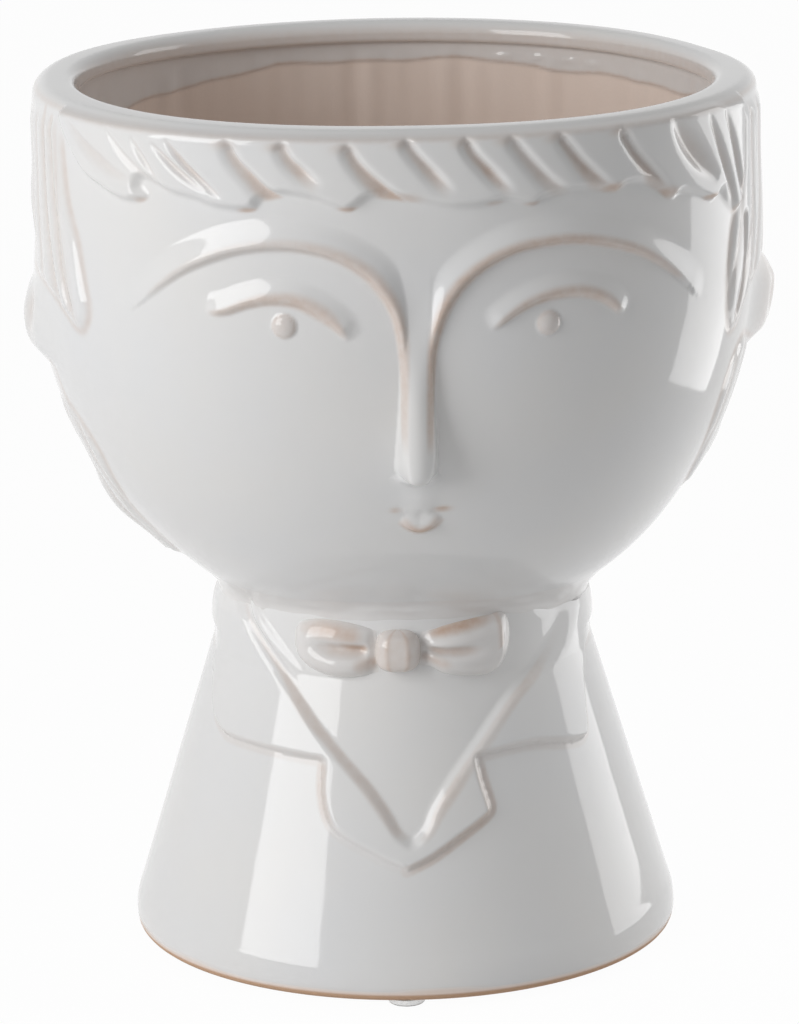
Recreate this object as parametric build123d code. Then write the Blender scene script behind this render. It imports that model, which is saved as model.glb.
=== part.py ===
from build123d import *
import math
import os

os.makedirs("parts", exist_ok=True)

# A head planter in glazed stoneware. The open crown is the planting bowl, and the
# head is luted with slip to a hollow bust that stands on four self-adhesive pads.
# Z is up, the face looks along -Y, the floor is at Z = 0 and the origin is under
# the middle of the head. Lengths are in millimetres and angles in degrees.
# Names that end in share or shares hold parts of the length that they follow.

# Heights of the stack, from the floor up
pad_height = 1.6
adhesive_height = 0.2
bust_height = 92.2
slip_height = 0.8
head_height = 127

# Head: a rounded bowl under a nearly upright wall
head_half_width = 90.4
head_half_depth = 85.5
widest_level = 83
chin_half_width = 48.5
head_wall = 6.4
bowl_floor = 7
rim_width = 8.6
side_rim_width = 11.2
rim_bead_height = 5.6
rim_round = 3.2
bead_round = 1.2
head_turn = 3.7
chin_shift = 1.2
plan_power = 2.1
plan_power_swing = 0.1

# Bust: a hollow cone with a foot ring
foot_radius = 67.6
foot_bulge = 1.5
foot_bulge_height = 3.6
foot_round = 2
cone_start_height = 11
neck_height = 16.2
cone_top_radius = 47.8
neck_radius = 46.4
bust_wall = 6.4
foot_ring_width = 9.4
foot_ring_height = 5
bust_setback = 1.5

# Slip joint, a ring of clay slip that was squeezed between the two castings
slip_inset = 0.6
slip_ring_width = 5.4

# Coat lapels and collar
lapel_rise = 1.8
collar_drop = 16
collar_top_gap = 1.4

# Bow tie
knot_half_width = 5.6
knot_height = 10.2
knot_rise = 4.6
loop_height = 14.7
loop_rise = 3.4
loop_waist_height = 7.8
loop_reach_angle = 32.7
bow_turn = -1.4
fold_radius = 1
fold_share = 0.2
bow_drop = 8.7

# Relief on the head
brow_half_width = 2.6
brow_rise = 2.2
nose_half_width = 6.5
nose_ridge_half_width = 3.8
nose_rise = 8.6
lid_half_width = 1.7
lid_rise = 1.3
pupil_radius = 3.1
pupil_rise = 1.5
lip_half_height = 2.5
lip_rise = 1.5
fringe_half_width = 3.7
fringe_rise = 1.9
fringe_start_gap = 2.6
fringe_lean_power = 1.7
sideburn_half_width = 3.4
sideburn_rise = 1.5
jaw_lock_half_width = 4.4
jaw_lock_rise = 1.8
over_ear_lock_rise = 1.1
back_lock_rise = 1.2
back_lock_half_width = 8.6
swell_power = 0.7
ear_half_height = 11.3
ear_rise = 5
ear_level = 67

# Pads under the foot ring
pad_radius = 4.6
pad_round = 0.7
adhesive_radius = 4.3

# One overrun serves every cut
overrun = 5

bust_base = pad_height + adhesive_height
cone_top_height = bust_height - neck_height
joint_level = bust_base + bust_height
head_base = joint_level + slip_height
bowl_drop = widest_level / math.sqrt(1 - (chin_half_width / head_half_width) ** 2)

# Turns the head's own frame into the part's frame
head_place = Rot(0, 0, head_turn)
bust_axis = Pos(0, -bust_setback, 0)


def plan_radius(azimuth, half_width, half_depth):
    """Distance from the head's axis to its outline, azimuth 0 at the face."""
    angle = math.radians(azimuth)
    power = plan_power + plan_power_swing * math.cos(angle)
    across = abs(math.sin(angle) / half_width) ** power
    deep = abs(math.cos(angle) / half_depth) ** power
    return (across + deep) ** (-1 / power)


def girth(level, drop):
    """Share of the widest outline that the bowl has at a level above the slip joint."""
    below = max(widest_level - level, 0)
    return math.sqrt(1 - (below / drop) ** 2)


def section_shift(level):
    """The chin sits a little to one side of the crown."""
    return chin_shift * (1 - level / head_height)


def head_point(azimuth, level):
    """A point on the bare outside of the head."""
    radius = plan_radius(azimuth, head_half_width, head_half_depth) * girth(level, bowl_drop)
    angle = math.radians(azimuth)
    side = section_shift(level) + radius * math.sin(angle)
    return Vector(side, -radius * math.cos(angle), head_base + level)


def face_azimuth(across_share, level):
    """The azimuth at which the wall stands that share of the half width from the middle."""
    wanted = abs(across_share) * head_half_width
    low = 0
    high = 90
    for _ in range(40):
        middle = (low + high) / 2
        if head_point(middle, level).X - section_shift(level) < wanted:
            low = middle
        else:
            high = middle
    return math.copysign(low, across_share)


def head_seat(azimuth, level):
    """A point on the head with the outward direction there."""
    step_turn = 0.5
    step_level = head_height / 200
    point = head_point(azimuth, level)
    round_way = head_point(azimuth + step_turn, level) - head_point(azimuth - step_turn, level)
    up_way = head_point(azimuth, level + step_level) - head_point(azimuth, level - step_level)
    return point, round_way.cross(up_way).normalized()


def face_seat(across_share, level_share):
    level = level_share * head_height
    return head_seat(face_azimuth(across_share, level), level)


def outline(level, half_width, half_depth, share=1):
    """The head's plan outline at a level, as a face."""
    count = 24
    points = []
    for index in range(count):
        azimuth = 360 * index / count
        radius = plan_radius(azimuth, half_width, half_depth) * share
        angle = math.radians(azimuth)
        points.append((section_shift(level) + radius * math.sin(angle), -radius * math.cos(angle)))
    edge = Spline(*points, periodic=True)
    return Pos(0, 0, head_base + level) * Face(Wire([edge]))


def ridge(seats, half_widths, rises):
    """A rounded ridge along seats, each a point and its outward direction, half sunk in the wall."""
    sections = []
    last = len(seats) - 1
    for index, (point, outward) in enumerate(seats):
        along = seats[min(index + 1, last)][0] - seats[max(index - 1, 0)][0]
        frame = Plane(origin=point, x_dir=along.cross(outward), z_dir=along)
        sections.append(frame * Ellipse(half_widths[index], rises[index]))
    return loft(sections)


def swell(count, end_share):
    """Shares that rise from one end to the middle and fall to the other end."""
    rows = [math.sin(math.pi * index / (count - 1)) for index in range(count)]
    return [end_share + (1 - end_share) * row ** swell_power for row in rows]


def head_shell():
    """The bare bowl with its rim bead, before any relief."""
    bowl_levels = [widest_level * share for share in (0, 0.06, 0.14, 0.25, 0.4, 0.6, 0.8, 1)]
    wall_levels = bowl_levels + [(widest_level + head_height) / 2, head_height]
    outside = loft([
        outline(level, head_half_width, head_half_depth, girth(level, bowl_drop))
        for level in wall_levels])
    inner_width = head_half_width - head_wall
    inner_depth = head_half_depth - head_wall
    bead_level = head_height - rim_bead_height
    inner_levels = [
        bowl_floor + (widest_level - bowl_floor) * share for share in (0, 0.08, 0.2, 0.4, 0.65, 1)]
    inner_levels += [(widest_level + bead_level) / 2, bead_level]
    inside = loft([
        outline(level, inner_width, inner_depth, girth(level, bowl_drop - head_wall))
        for level in inner_levels])
    throat = extrude(
        outline(bead_level, head_half_width - side_rim_width, head_half_depth - rim_width),
        rim_bead_height + overrun)
    shell = outside - inside - throat
    lip = shell.faces().sort_by(Axis.Z)[-1]
    shell = fillet(lip.edges(), rim_round)
    bead_edges = [
        edge for edge in shell.edges()
        if abs(edge.bounding_box().max.Z - head_base - bead_level) < rim_bead_height / 20
        and edge.bounding_box().max.X < head_half_width - (side_rim_width + head_wall) / 2]
    return fillet(bead_edges, bead_round)


# Each brow runs from its outer end over the eye and down the side of the nose
brow_across_shares = (0.715, 0.66, 0.59, 0.505, 0.42, 0.34, 0.26, 0.185, 0.128, 0.086, 0.056, 0.044)
brow_level_shares = (0.66, 0.7, 0.737, 0.763, 0.778, 0.783, 0.776, 0.754, 0.723, 0.684, 0.635, 0.57)
brow_size_shares = (0.25, 0.7, 0.9, 1, 1, 1, 1, 1, 1, 1, 0.9, 0.8)

lid_across_shares = (0.54, 0.495, 0.445, 0.395, 0.335, 0.275, 0.23, 0.195, 0.18)
lid_end_share = 0.2
lid_level_shares = (0.648, 0.655, 0.669, 0.679, 0.679, 0.665, 0.643, 0.618, 0.598)

pupil_across_share = 0.344
pupil_level_share = 0.629

# Levels down the nose, with how far its ridge stands out there and how wide it is
nose_level_shares = (0.6, 0.5, 0.42, 0.355, 0.325, 0.308)
nose_rise_shares = (0.2, 0.45, 0.7, 1, 0.9, 0.25)
nose_width_shares = (0.75, 0.8, 0.9, 1, 1, 0.9)

lip_across_shares = (-0.06, -0.032, 0, 0.032, 0.06)
lip_end_share = 0.35
lip_level_shares = (0.256, 0.238, 0.232, 0.238, 0.256)

# Fringe locks: azimuth under the rim, azimuth of the tip, and level of the tip
fringe_locks = (
    (-62.5, -46, 0.855), (-54.5, -42, 0.878), (-46.5, -31, 0.855), (-40, -27, 0.86),
    (-34.5, -22.5, 0.862), (-26.5, -10, 0.858), (-16, -2, 0.866), (-7, 7, 0.86),
    (2.5, 13, 0.858), (10, 20, 0.854), (17.5, 29.5, 0.862), (25.5, 40, 0.858),
    (35.5, 51.5, 0.82), (46, 60.5, 0.772))

fringe_run_shares = (0.02, 0.3, 0.6, 0.85, 1)
fringe_size_shares = (0.5, 0.9, 1, 0.8, 0.4)

# Sideburn strands: azimuths and level shares from the rim down to the tip
sideburn_strands = (
    ((65, 64.5, 63, 60.5, 58.5, 59.5), (0.965, 0.88, 0.78, 0.7, 0.62, 0.56)),
    ((71, 70.5, 69, 66.5, 63.5, 61), (0.965, 0.88, 0.78, 0.7, 0.63, 0.58)),
    ((77.5, 77, 76, 74, 71, 67.5), (0.965, 0.89, 0.8, 0.73, 0.67, 0.62)))

ear_azimuths = (71, 77, 84, 91, 95.5, 98)
ear_height_shares = (0.3, 0.68, 0.92, 1, 0.9, 0.6)
ear_rise_shares = (0.12, 0.42, 0.8, 1, 0.85, 0.25)

strand_end_share = 0.45

# Short locks that end above each ear
over_ear_locks = (
    ((83.5, 84, 84, 83), (0.962, 0.86, 0.76, 0.66)),
    ((92.5, 93, 93.5, 94), (0.962, 0.86, 0.76, 0.66)))

# Locks that cover the back of the head from behind one ear round to the other
back_lock_count = 14
back_lock_start_angle = 103
back_lock_top_share = 0.962
back_lock_run_shares = (0, 0.25, 0.5, 0.75, 1)
back_lock_wave_shares = (0, 0.12, 0, -0.12, 0)
back_lock_tip_shares = (0.1, 0.2)

# Short locks that come forward along the jaw, under each ear
jaw_locks = (
    ((84, 79, 75, 72), (0.46, 0.36, 0.26, 0.19)),
    ((92, 86, 79, 74), (0.4, 0.28, 0.16, 0.08)),
    ((76, 73, 70.5, 69.5), (0.44, 0.37, 0.31, 0.25)))


def face_relief(side):
    """Brow, lid and pupil on one side of the face."""
    brow = ridge(
        [face_seat(side * across, level)
         for across, level in zip(brow_across_shares, brow_level_shares)],
        [brow_half_width * share for share in brow_size_shares],
        [brow_rise * share for share in brow_size_shares])
    sizes = swell(len(lid_across_shares), lid_end_share)
    lid = ridge(
        [face_seat(side * across, level)
         for across, level in zip(lid_across_shares, lid_level_shares)],
        [lid_half_width * share for share in sizes],
        [lid_rise * share for share in sizes])
    ball_radius = (pupil_radius ** 2 + pupil_rise ** 2) / (2 * pupil_rise)
    point, outward = face_seat(side * pupil_across_share, pupil_level_share)
    centre = point - outward * (ball_radius - pupil_rise)
    pupil = Pos(centre) * Sphere(ball_radius)
    return [brow, lid, pupil]


def nose():
    """A wedge that grows out of the two brows and ends in a blunt tip."""
    sections = []
    for level_share, rise_share, width_share in zip(
            nose_level_shares, nose_rise_shares, nose_width_shares):
        level = level_share * head_height
        wall = head_point(0, level)
        back = wall.Y + head_wall / 2
        front = wall.Y - nose_rise * rise_share
        wide = nose_half_width * width_share
        narrow = nose_ridge_half_width * width_share
        corners = [(wide, back), (wide, wall.Y), (narrow, front),
                   (-narrow, front), (-wide, wall.Y), (-wide, back)]
        loop = Polyline(*[(wall.X + x, y) for x, y in corners], close=True)
        sections.append(Pos(0, 0, wall.Z) * Face(Wire(loop.edges())))
    return loft(sections, ruled=True)


def lip():
    sizes = swell(len(lip_across_shares), lip_end_share)
    return ridge(
        [face_seat(across, level) for across, level in zip(lip_across_shares, lip_level_shares)],
        [lip_half_height * share for share in sizes],
        [lip_rise * share for share in sizes])


def fringe_lock(top_azimuth, tip_azimuth, tip_share):
    """A comma-shaped lock that leans over more and more towards its tip."""
    top_level = head_height - fringe_start_gap
    seats = []
    for run in fringe_run_shares:
        level = top_level + (tip_share * head_height - top_level) * run
        azimuth = top_azimuth + (tip_azimuth - top_azimuth) * run ** fringe_lean_power
        seats.append(head_seat(azimuth, level))
    return ridge(
        seats,
        [fringe_half_width * share for share in fringe_size_shares],
        [fringe_rise * share for share in fringe_size_shares])


def strand(azimuths, level_shares, half_width, rise, side=1):
    sizes = swell(len(azimuths), strand_end_share)
    return ridge(
        [head_seat(side * azimuth, share * head_height)
         for azimuth, share in zip(azimuths, level_shares)],
        [half_width * share for share in sizes],
        [rise * share for share in sizes])


def back_lock(index):
    """A long lock from the rim to the nape, with a slight sideways wave."""
    sweep = 360 - 2 * back_lock_start_angle
    pitch = sweep / (back_lock_count - 1)
    azimuth = back_lock_start_angle + pitch * index
    drop_share = back_lock_tip_shares[index % 2] - back_lock_top_share
    azimuths = [azimuth + pitch * wave for wave in back_lock_wave_shares]
    level_shares = [back_lock_top_share + drop_share * run for run in back_lock_run_shares]
    return strand(azimuths, level_shares, back_lock_half_width, back_lock_rise)


def ear(side):
    seats = [head_seat(side * azimuth, ear_level) for azimuth in ear_azimuths]
    return ridge(
        seats,
        [ear_half_height * share for share in ear_height_shares],
        [ear_rise * share for share in ear_rise_shares])


def head_bowl():
    """The head with its face, hair and ears, as one hollow casting."""
    relief = [nose(), lip()]
    for side in (-1, 1):
        relief += face_relief(side)
        relief.append(ear(side))
        relief += [
            strand(azimuths, shares, sideburn_half_width, sideburn_rise, side)
            for azimuths, shares in sideburn_strands]
        relief += [
            strand(azimuths, shares, jaw_lock_half_width, jaw_lock_rise, side)
            for azimuths, shares in jaw_locks]
        relief += [
            strand(azimuths, shares, jaw_lock_half_width, over_ear_lock_rise, side)
            for azimuths, shares in over_ear_locks]
    relief += [fringe_lock(*lock) for lock in fringe_locks]
    relief += [back_lock(index) for index in range(back_lock_count)]
    return head_place * head_shell().fuse(*relief)


def bust_profile(extra=0):
    """Outside points of the bust, from the foot up, as radius and height."""
    return [
        (foot_radius + extra, 0),
        (foot_radius + foot_bulge + extra, foot_bulge_height),
        (foot_radius + extra, cone_start_height),
        (cone_top_radius + extra, cone_top_height),
        (neck_radius + extra, bust_height)]


def bust_blank(extra=0):
    """The bust as a solid of revolution, standing on its own base plane."""
    foot, bulge, cone_start, cone_top, top = bust_profile(extra)
    bulge_arc = ThreePointArc(foot, bulge, cone_start)
    flank = Polyline(cone_start, cone_top, top, (0, bust_height), (0, 0), foot)
    section = Plane.XZ * Face(Wire(bulge_arc.edges() + flank.edges()))
    return Pos(0, 0, bust_base) * revolve(section, Axis.Z)


def bust_hollow():
    """The space that stays open under the bust and runs up to the bowl's floor."""
    foot_inner = foot_radius - foot_ring_width
    points = [
        (0, -overrun), (foot_inner, -overrun), (foot_inner, foot_ring_height),
        (foot_radius - bust_wall, cone_start_height + bust_wall / 2),
        (cone_top_radius - bust_wall, cone_top_height),
        (neck_radius - bust_wall, bust_height), (neck_radius - bust_wall, bust_height + overrun),
        (0, bust_height + overrun)]
    section = Plane.XZ * Face(Wire(Polyline(*points, close=True).edges()))
    return Pos(0, 0, bust_base) * revolve(section, Axis.Z)


# Lapel outlines as seen from the front: shares of the neck's radius across and of
# the bust's height up. The first list is at the wearer's right hand.
left_lapel_shares = (
    (-0.905, 0.985), (-0.74, 0.875), (-0.6, 0.8), (-0.49, 0.735), (-0.41, 0.685), (-0.26, 0.61),
    (-0.125, 0.54), (-0.025, 0.447), (0.035, 0.437), (0.035, 0.342), (-0.1, 0.362),
    (-0.35, 0.423), (-0.41, 0.466), (-0.437, 0.541), (-0.43, 0.615), (-0.72, 0.623),
    (-0.945, 0.622), (-1.005, 0.638), (-1.03, 0.67), (-1.03, 0.79), (-1.2, 0.835),
    (-1.2, 0.985))
right_lapel_shares = (
    (0.905, 0.985), (0.8, 0.905), (0.7, 0.845), (0.545, 0.773), (0.37, 0.668), (0.215, 0.57),
    (0.144, 0.52), (0.11, 0.455), (0.035, 0.437), (0.035, 0.342), (0.27, 0.413), (0.446, 0.471),
    (0.468, 0.487), (0.433, 0.55), (0.39, 0.624), (0.68, 0.635), (0.99, 0.6), (1, 0.622),
    (0.995, 0.7), (1, 0.79), (1.2, 0.835), (1.2, 0.985))


def lapels():
    """The coat front: a second skin of the bust, cut to the outlines seen from the front."""
    skin = bust_blank(lapel_rise)
    pieces = []
    for shares in (left_lapel_shares, right_lapel_shares):
        points = [(x * neck_radius, bust_base + z * bust_height) for x, z in shares]
        front = Plane.XZ * Face(Wire(Polyline(*points, close=True).edges()))
        pieces.append(skin & extrude(front, foot_radius + overrun, dir=(0, -1, 0)))
    band_height = collar_drop - collar_top_gap
    band_top = bust_base + bust_height - collar_top_gap
    band = Pos(0, foot_radius, band_top - band_height / 2) * Box(
        2 * foot_radius, 2 * foot_radius, band_height)
    pieces.append(skin & band)
    return pieces


def bust_stand():
    """The hollow bust with its collar, lapels and foot ring."""
    body = bust_blank().fuse(*lapels()) - bust_hollow()
    rings = body.faces().filter_by(Plane.XY).sort_by(Axis.Z)
    foot_edges = rings[0].edges().sort_by(SortBy.LENGTH)
    body = fillet(foot_edges[-1:], foot_round)
    return bust_axis * body


def slip_joint():
    outer = neck_radius - slip_inset
    ring = Cylinder(outer, slip_height) - Cylinder(outer - slip_ring_width, slip_height)
    return bust_axis * Pos(0, 0, joint_level + slip_height / 2) * ring


def neck_seat(azimuth, level):
    """A point on the neck with its outward direction, level measured from the joint down."""
    angle = math.radians(azimuth)
    outward = Vector(math.sin(angle), -math.cos(angle), 0)
    radius = neck_radius + (cone_top_radius - neck_radius) * level / neck_height
    return outward * radius + Vector(0, 0, joint_level - level), outward


# The knot from its top to its foot, and the loops from the knot outwards
knot_level_shares = (-0.5, -0.36, 0, 0.36, 0.5)
knot_size_shares = (0.62, 0.95, 1, 0.95, 0.62)
loop_run_shares = (0.12, 0.38, 0.64, 0.88, 1)
loop_height_shares = (0, 0.55, 0.9, 1, 0.7)
loop_rise_shares = (0.85, 1, 1, 0.8, 0.45)


def bow_tie():
    """The bow: a knot between two folded loops, each sprigged onto the neck."""
    knot = ridge(
        [neck_seat(bow_turn, bow_drop + knot_height * share) for share in knot_level_shares],
        [knot_half_width * share for share in knot_size_shares],
        [knot_rise * share for share in knot_size_shares])
    loops = []
    folds = []
    for side in (-1, 1):
        turns = [bow_turn + side * loop_reach_angle * run for run in loop_run_shares]
        seats = [neck_seat(turn, bow_drop) for turn in turns]
        heights = [
            loop_waist_height + (loop_height - loop_waist_height) * share
            for share in loop_height_shares]
        rises = [loop_rise * share for share in loop_rise_shares]
        loops.append(ridge(seats, [height / 2 for height in heights], rises))
        for fold in (-fold_share, fold_share):
            line = []
            for turn, run, height, rise in zip(turns, loop_run_shares, heights, rises):
                point, outward = neck_seat(turn, bow_drop + height * fold)
                line.append((point + outward * (rise + fold_radius * run), outward))
            line.pop()
            radii = [fold_radius] * len(line)
            folds.append(ridge(line, radii, radii))
    bow = knot.fuse(*[loop.cut(*folds) for loop in loops])
    bow = bow.cut(bust_blank(), Pos(0, 0, head_base) * Box(
        2 * neck_radius, 2 * neck_radius, overrun, align=(Align.CENTER, Align.CENTER, Align.MIN)))
    for skin in lapels():
        bow = bow.cut(skin)
    return bust_axis * bow


def foot_pad():
    """A clear bumper with a rounded lower edge, and the disc of adhesive on top of it."""
    disc = Pos(0, 0, pad_height / 2) * Cylinder(pad_radius, pad_height)
    lower = disc.edges().sort_by(Axis.Z)[:1]
    pad = fillet(lower, pad_round)
    adhesive = Pos(0, 0, pad_height + adhesive_height / 2) * Cylinder(
        adhesive_radius, adhesive_height)
    return pad, adhesive


pieces = {
    "head_bowl": head_bowl(),
    "bust_stand": bust_stand(),
    "slip_joint": slip_joint(),
    "bow_tie": bow_tie(),
}

pad_circle_radius = foot_radius - foot_ring_width / 2
pad_azimuths = {"front": 0, "right": 90, "back": 180, "left": 270}
for place, azimuth in pad_azimuths.items():
    spot = bust_axis * Rot(0, 0, azimuth) * Pos(0, -pad_circle_radius, 0)
    pad, adhesive = foot_pad()
    pieces["foot_pad_" + place] = spot * pad
    pieces["pad_adhesive_" + place] = spot * adhesive

for name, piece in pieces.items():
    export_step(piece, "parts/" + name + ".step")
    size = piece.bounding_box().size
    print(name, round(piece.volume), "mm3", [round(side, 1) for side in (size.X, size.Y, size.Z)])
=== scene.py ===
import math

import bpy
import numpy as np
from mathutils import Matrix, Vector


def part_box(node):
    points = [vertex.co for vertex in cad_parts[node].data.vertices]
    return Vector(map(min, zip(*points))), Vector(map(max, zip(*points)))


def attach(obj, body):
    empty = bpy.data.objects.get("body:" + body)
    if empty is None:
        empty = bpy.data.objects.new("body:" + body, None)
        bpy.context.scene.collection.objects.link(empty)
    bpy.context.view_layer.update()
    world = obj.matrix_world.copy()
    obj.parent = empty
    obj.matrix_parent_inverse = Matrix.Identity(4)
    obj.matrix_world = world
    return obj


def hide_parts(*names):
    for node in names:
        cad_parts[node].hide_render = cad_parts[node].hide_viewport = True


# A head planter in white reactive-glazed stoneware, modelled as displaced skins over
# the bare castings. Lengths are in millimetres and angles in degrees; meshes are metres.
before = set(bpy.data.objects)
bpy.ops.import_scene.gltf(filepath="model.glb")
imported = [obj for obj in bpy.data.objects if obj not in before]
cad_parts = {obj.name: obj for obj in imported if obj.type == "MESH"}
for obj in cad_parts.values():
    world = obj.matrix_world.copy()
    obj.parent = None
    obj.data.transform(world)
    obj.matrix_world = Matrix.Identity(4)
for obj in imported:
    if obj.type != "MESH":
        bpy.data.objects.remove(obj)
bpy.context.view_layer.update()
print("frame loaded with", len(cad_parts), "nodes")

toMetres = 0.001
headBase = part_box("head_bowl")[0].z / toMetres
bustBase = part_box("bust_stand")[0].z / toMetres
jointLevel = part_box("slip_joint")[0].z / toMetres
farAway = 99                 # stands for "nowhere near this line"


def linearColour(code):
    # sRGB hex to the linear colour that the shaders take
    shares = [int(code[start:start + 2], 16) / 255 for start in (1, 3, 5)]
    curve = [share / 12.92 if share <= 0.04045 else ((share + 0.055) / 1.055) ** 2.4
             for share in shares]
    return (*curve, 1)


def addNode(tree, kind, settings=None, inputs=None):
    # one node with its settings; an input takes a value, or a link from another socket
    node = tree.nodes.new(kind)
    for name, value in (settings or {}).items():
        setattr(node, name, value)
    for name, value in (inputs or {}).items():
        if isinstance(value, bpy.types.NodeSocket):
            tree.links.new(value, node.inputs[name])
        else:
            node.inputs[name].default_value = value
    return node


def emptyTree(owner):
    # the node tree of a material or a world, with nothing in it yet
    owner.use_nodes = True
    owner.node_tree.nodes.clear()
    return owner.node_tree


def ease(low, high, value):
    # rises softly from 0 at low to 1 at high
    share = np.clip((value - low) / (high - low), 0, 1)
    return share * share * (3 - 2 * share)


def between(stops, value):
    # rises from 0 to 1 over the first two stops and falls again over the last two
    return ease(*stops[:2], value) * (1 - ease(*stops[2:], value))


def smoothLine(points, steps=8):
    # a Catmull-Rom line through hand-placed points
    points = np.array(points, float)
    ends = np.vstack([2 * points[0] - points[1], points, 2 * points[-1] - points[-2]])
    share = np.linspace(0, 1, steps, endpoint=False)[:, None]
    spans = []
    for before, start, end, after in zip(ends, ends[1:], ends[2:], ends[3:]):
        spans.append(start + 0.5 * (
            (end - before) * share
            + (2 * before - 5 * start + 4 * end - after) * share ** 2
            + (3 * start - 3 * end + after - before) * share ** 3))
    return np.vstack(spans + [points[-1:]])


def smoothCurve(value, points):
    # a smooth table: points are (value, result) in rising order
    line = smoothLine(points)
    return np.interp(value, line[:, 0], line[:, 1])


def alongLine(u, v, line, reach=12):
    # signed distance across a line, positive on the left of its run, and the share of the run
    across = np.full(u.shape, float(farAway))
    share = np.zeros(u.shape)
    near = ((u > line[:, 0].min() - reach) & (u < line[:, 0].max() + reach)
            & (v > line[:, 1].min() - reach) & (v < line[:, 1].max() + reach))
    nearU = u[near]
    nearV = v[near]
    way = np.diff(line, axis=0)
    length = np.hypot(way[:, 0], way[:, 1])
    run = np.concatenate([[0], np.cumsum(length)])
    best = np.full(nearU.shape, float(farAway))
    side = np.ones(nearU.shape)
    spot = np.zeros(nearU.shape)
    for index, (stepU, stepV) in enumerate(way):
        awayU = nearU - line[index, 0]
        awayV = nearV - line[index, 1]
        part = np.clip((awayU * stepU + awayV * stepV) / length[index] ** 2, 0, 1)
        gap = np.hypot(awayU - part * stepU, awayV - part * stepV)
        closer = gap < best
        best[closer] = gap[closer]
        side[closer] = np.where(stepU * awayV - stepV * awayU < 0, -1, 1)[closer]
        spot[closer] = (run[index] + part * length[index])[closer] / run[-1]
    across[near] = best * side
    share[near] = spot
    return across, share


def insideDepth(u, v, line):
    # distance in from a closed outline, negative outside it
    closed = np.vstack([line, line[:1]])
    gap = np.full(u.shape, float(farAway))
    within = np.zeros(u.shape, bool)
    for (startU, startV), (endU, endV) in zip(closed, closed[1:]):
        stepU = endU - startU
        stepV = endV - startV
        size = max(stepU ** 2 + stepV ** 2, 1e-9)
        part = np.clip(((u - startU) * stepU + (v - startV) * stepV) / size, 0, 1)
        gap = np.minimum(gap, np.hypot(u - startU - part * stepU, v - startV - part * stepV))
        if stepV != 0:
            crosses = (startV > v) != (endV > v)
            within ^= crosses & (u < startU + (v - startV) * stepU / stepV)
    return np.where(within, gap, -gap)


def ringPoints(radius, angle, height, centre=(0, 0)):
    # points round an upright axis, with angle 0 at the front
    return np.stack([centre[0] + radius * np.sin(angle), centre[1] - radius * np.cos(angle),
                     height + 0 * angle], -1)


def linked(name, data):
    # a new object in the scene
    item = bpy.data.objects.new(name, data)
    bpy.context.scene.collection.objects.link(item)
    return item


def skin(name, rings, looped=False, fields=None):
    # a closed mesh from rings of points; its two ends are fans, or meet if it is looped
    rows, columns = rings.shape[:2]
    points = rings.reshape(-1, 3)
    index = np.arange(rows * columns).reshape(rows, columns)
    right = np.roll(index, -1, axis=1)
    quads = np.stack([index, right, np.roll(right, -1, axis=0), np.roll(index, -1, axis=0)], -1)
    faces = quads[:rows if looped else rows - 1].reshape(-1, 4).tolist()
    values = {key: field.reshape(-1) for key, field in (fields or {}).items()}
    if not looped:
        points = np.vstack([points, rings[0].mean(0), rings[-1].mean(0)])
        first = rows * columns
        faces += [(first, b, a) for a, b in zip(index[0], right[0])]
        faces += [(first + 1, a, b) for a, b in zip(index[-1], right[-1])]
        values = {key: np.append(field, [field[0], field[-1]]) for key, field in values.items()}
    mesh = bpy.data.meshes.new(name)
    mesh.from_pydata((points * toMetres).tolist(), [], faces)
    mesh.polygons.foreach_set("use_smooth", np.ones(len(mesh.polygons), bool))
    for key, field in values.items():
        attribute = mesh.attributes.new(key, "FLOAT", "POINT")
        attribute.data.foreach_set("value", field.astype(np.float32))
    return linked(name, mesh)


def dress(piece, nodes, materials):
    for material in materials:
        piece.data.materials.append(material)
    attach(piece, "root")
    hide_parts(*nodes)
    print("made", piece.name, "with", len(piece.data.polygons), "faces")


# Materials: what each one is, how its surface was made, and what that gives the eye
glazeLook = {
    "white": "#eae8e5",        # thick glaze, where it pooled
    "coolWhite": "#e4e5e7",    # a little cooler where it is thickest
    "clay": "#c9ae9b",         # the body shows where the glaze broke over an edge, and is painted shade at the ears
    "roughness": 0.07, "bending": 1.5,     # fired to a glass
    "waveSize": 14, "waveDepth": 0.06,     # the soft unevenness of a dipped glaze
    "breakSize": 2.2, "breakShares": (0.72, 1.05),     # patches in which the glaze thins
    "blotchSize": 36,
}
bareLook = {
    "buff": "#f2e4da", "buffDark": "#e8d7cb",
    "footBuff": "#c9a68a",     # darker where the foot stood on the kiln shelf
    "roughness": 0.82, "grainSize": 0.9, "grainDepth": 0.05, "stainSize": 24,
}


def patternScale(size):
    # noise scale for marks of a real size
    return 1 / (size * toMetres)


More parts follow.
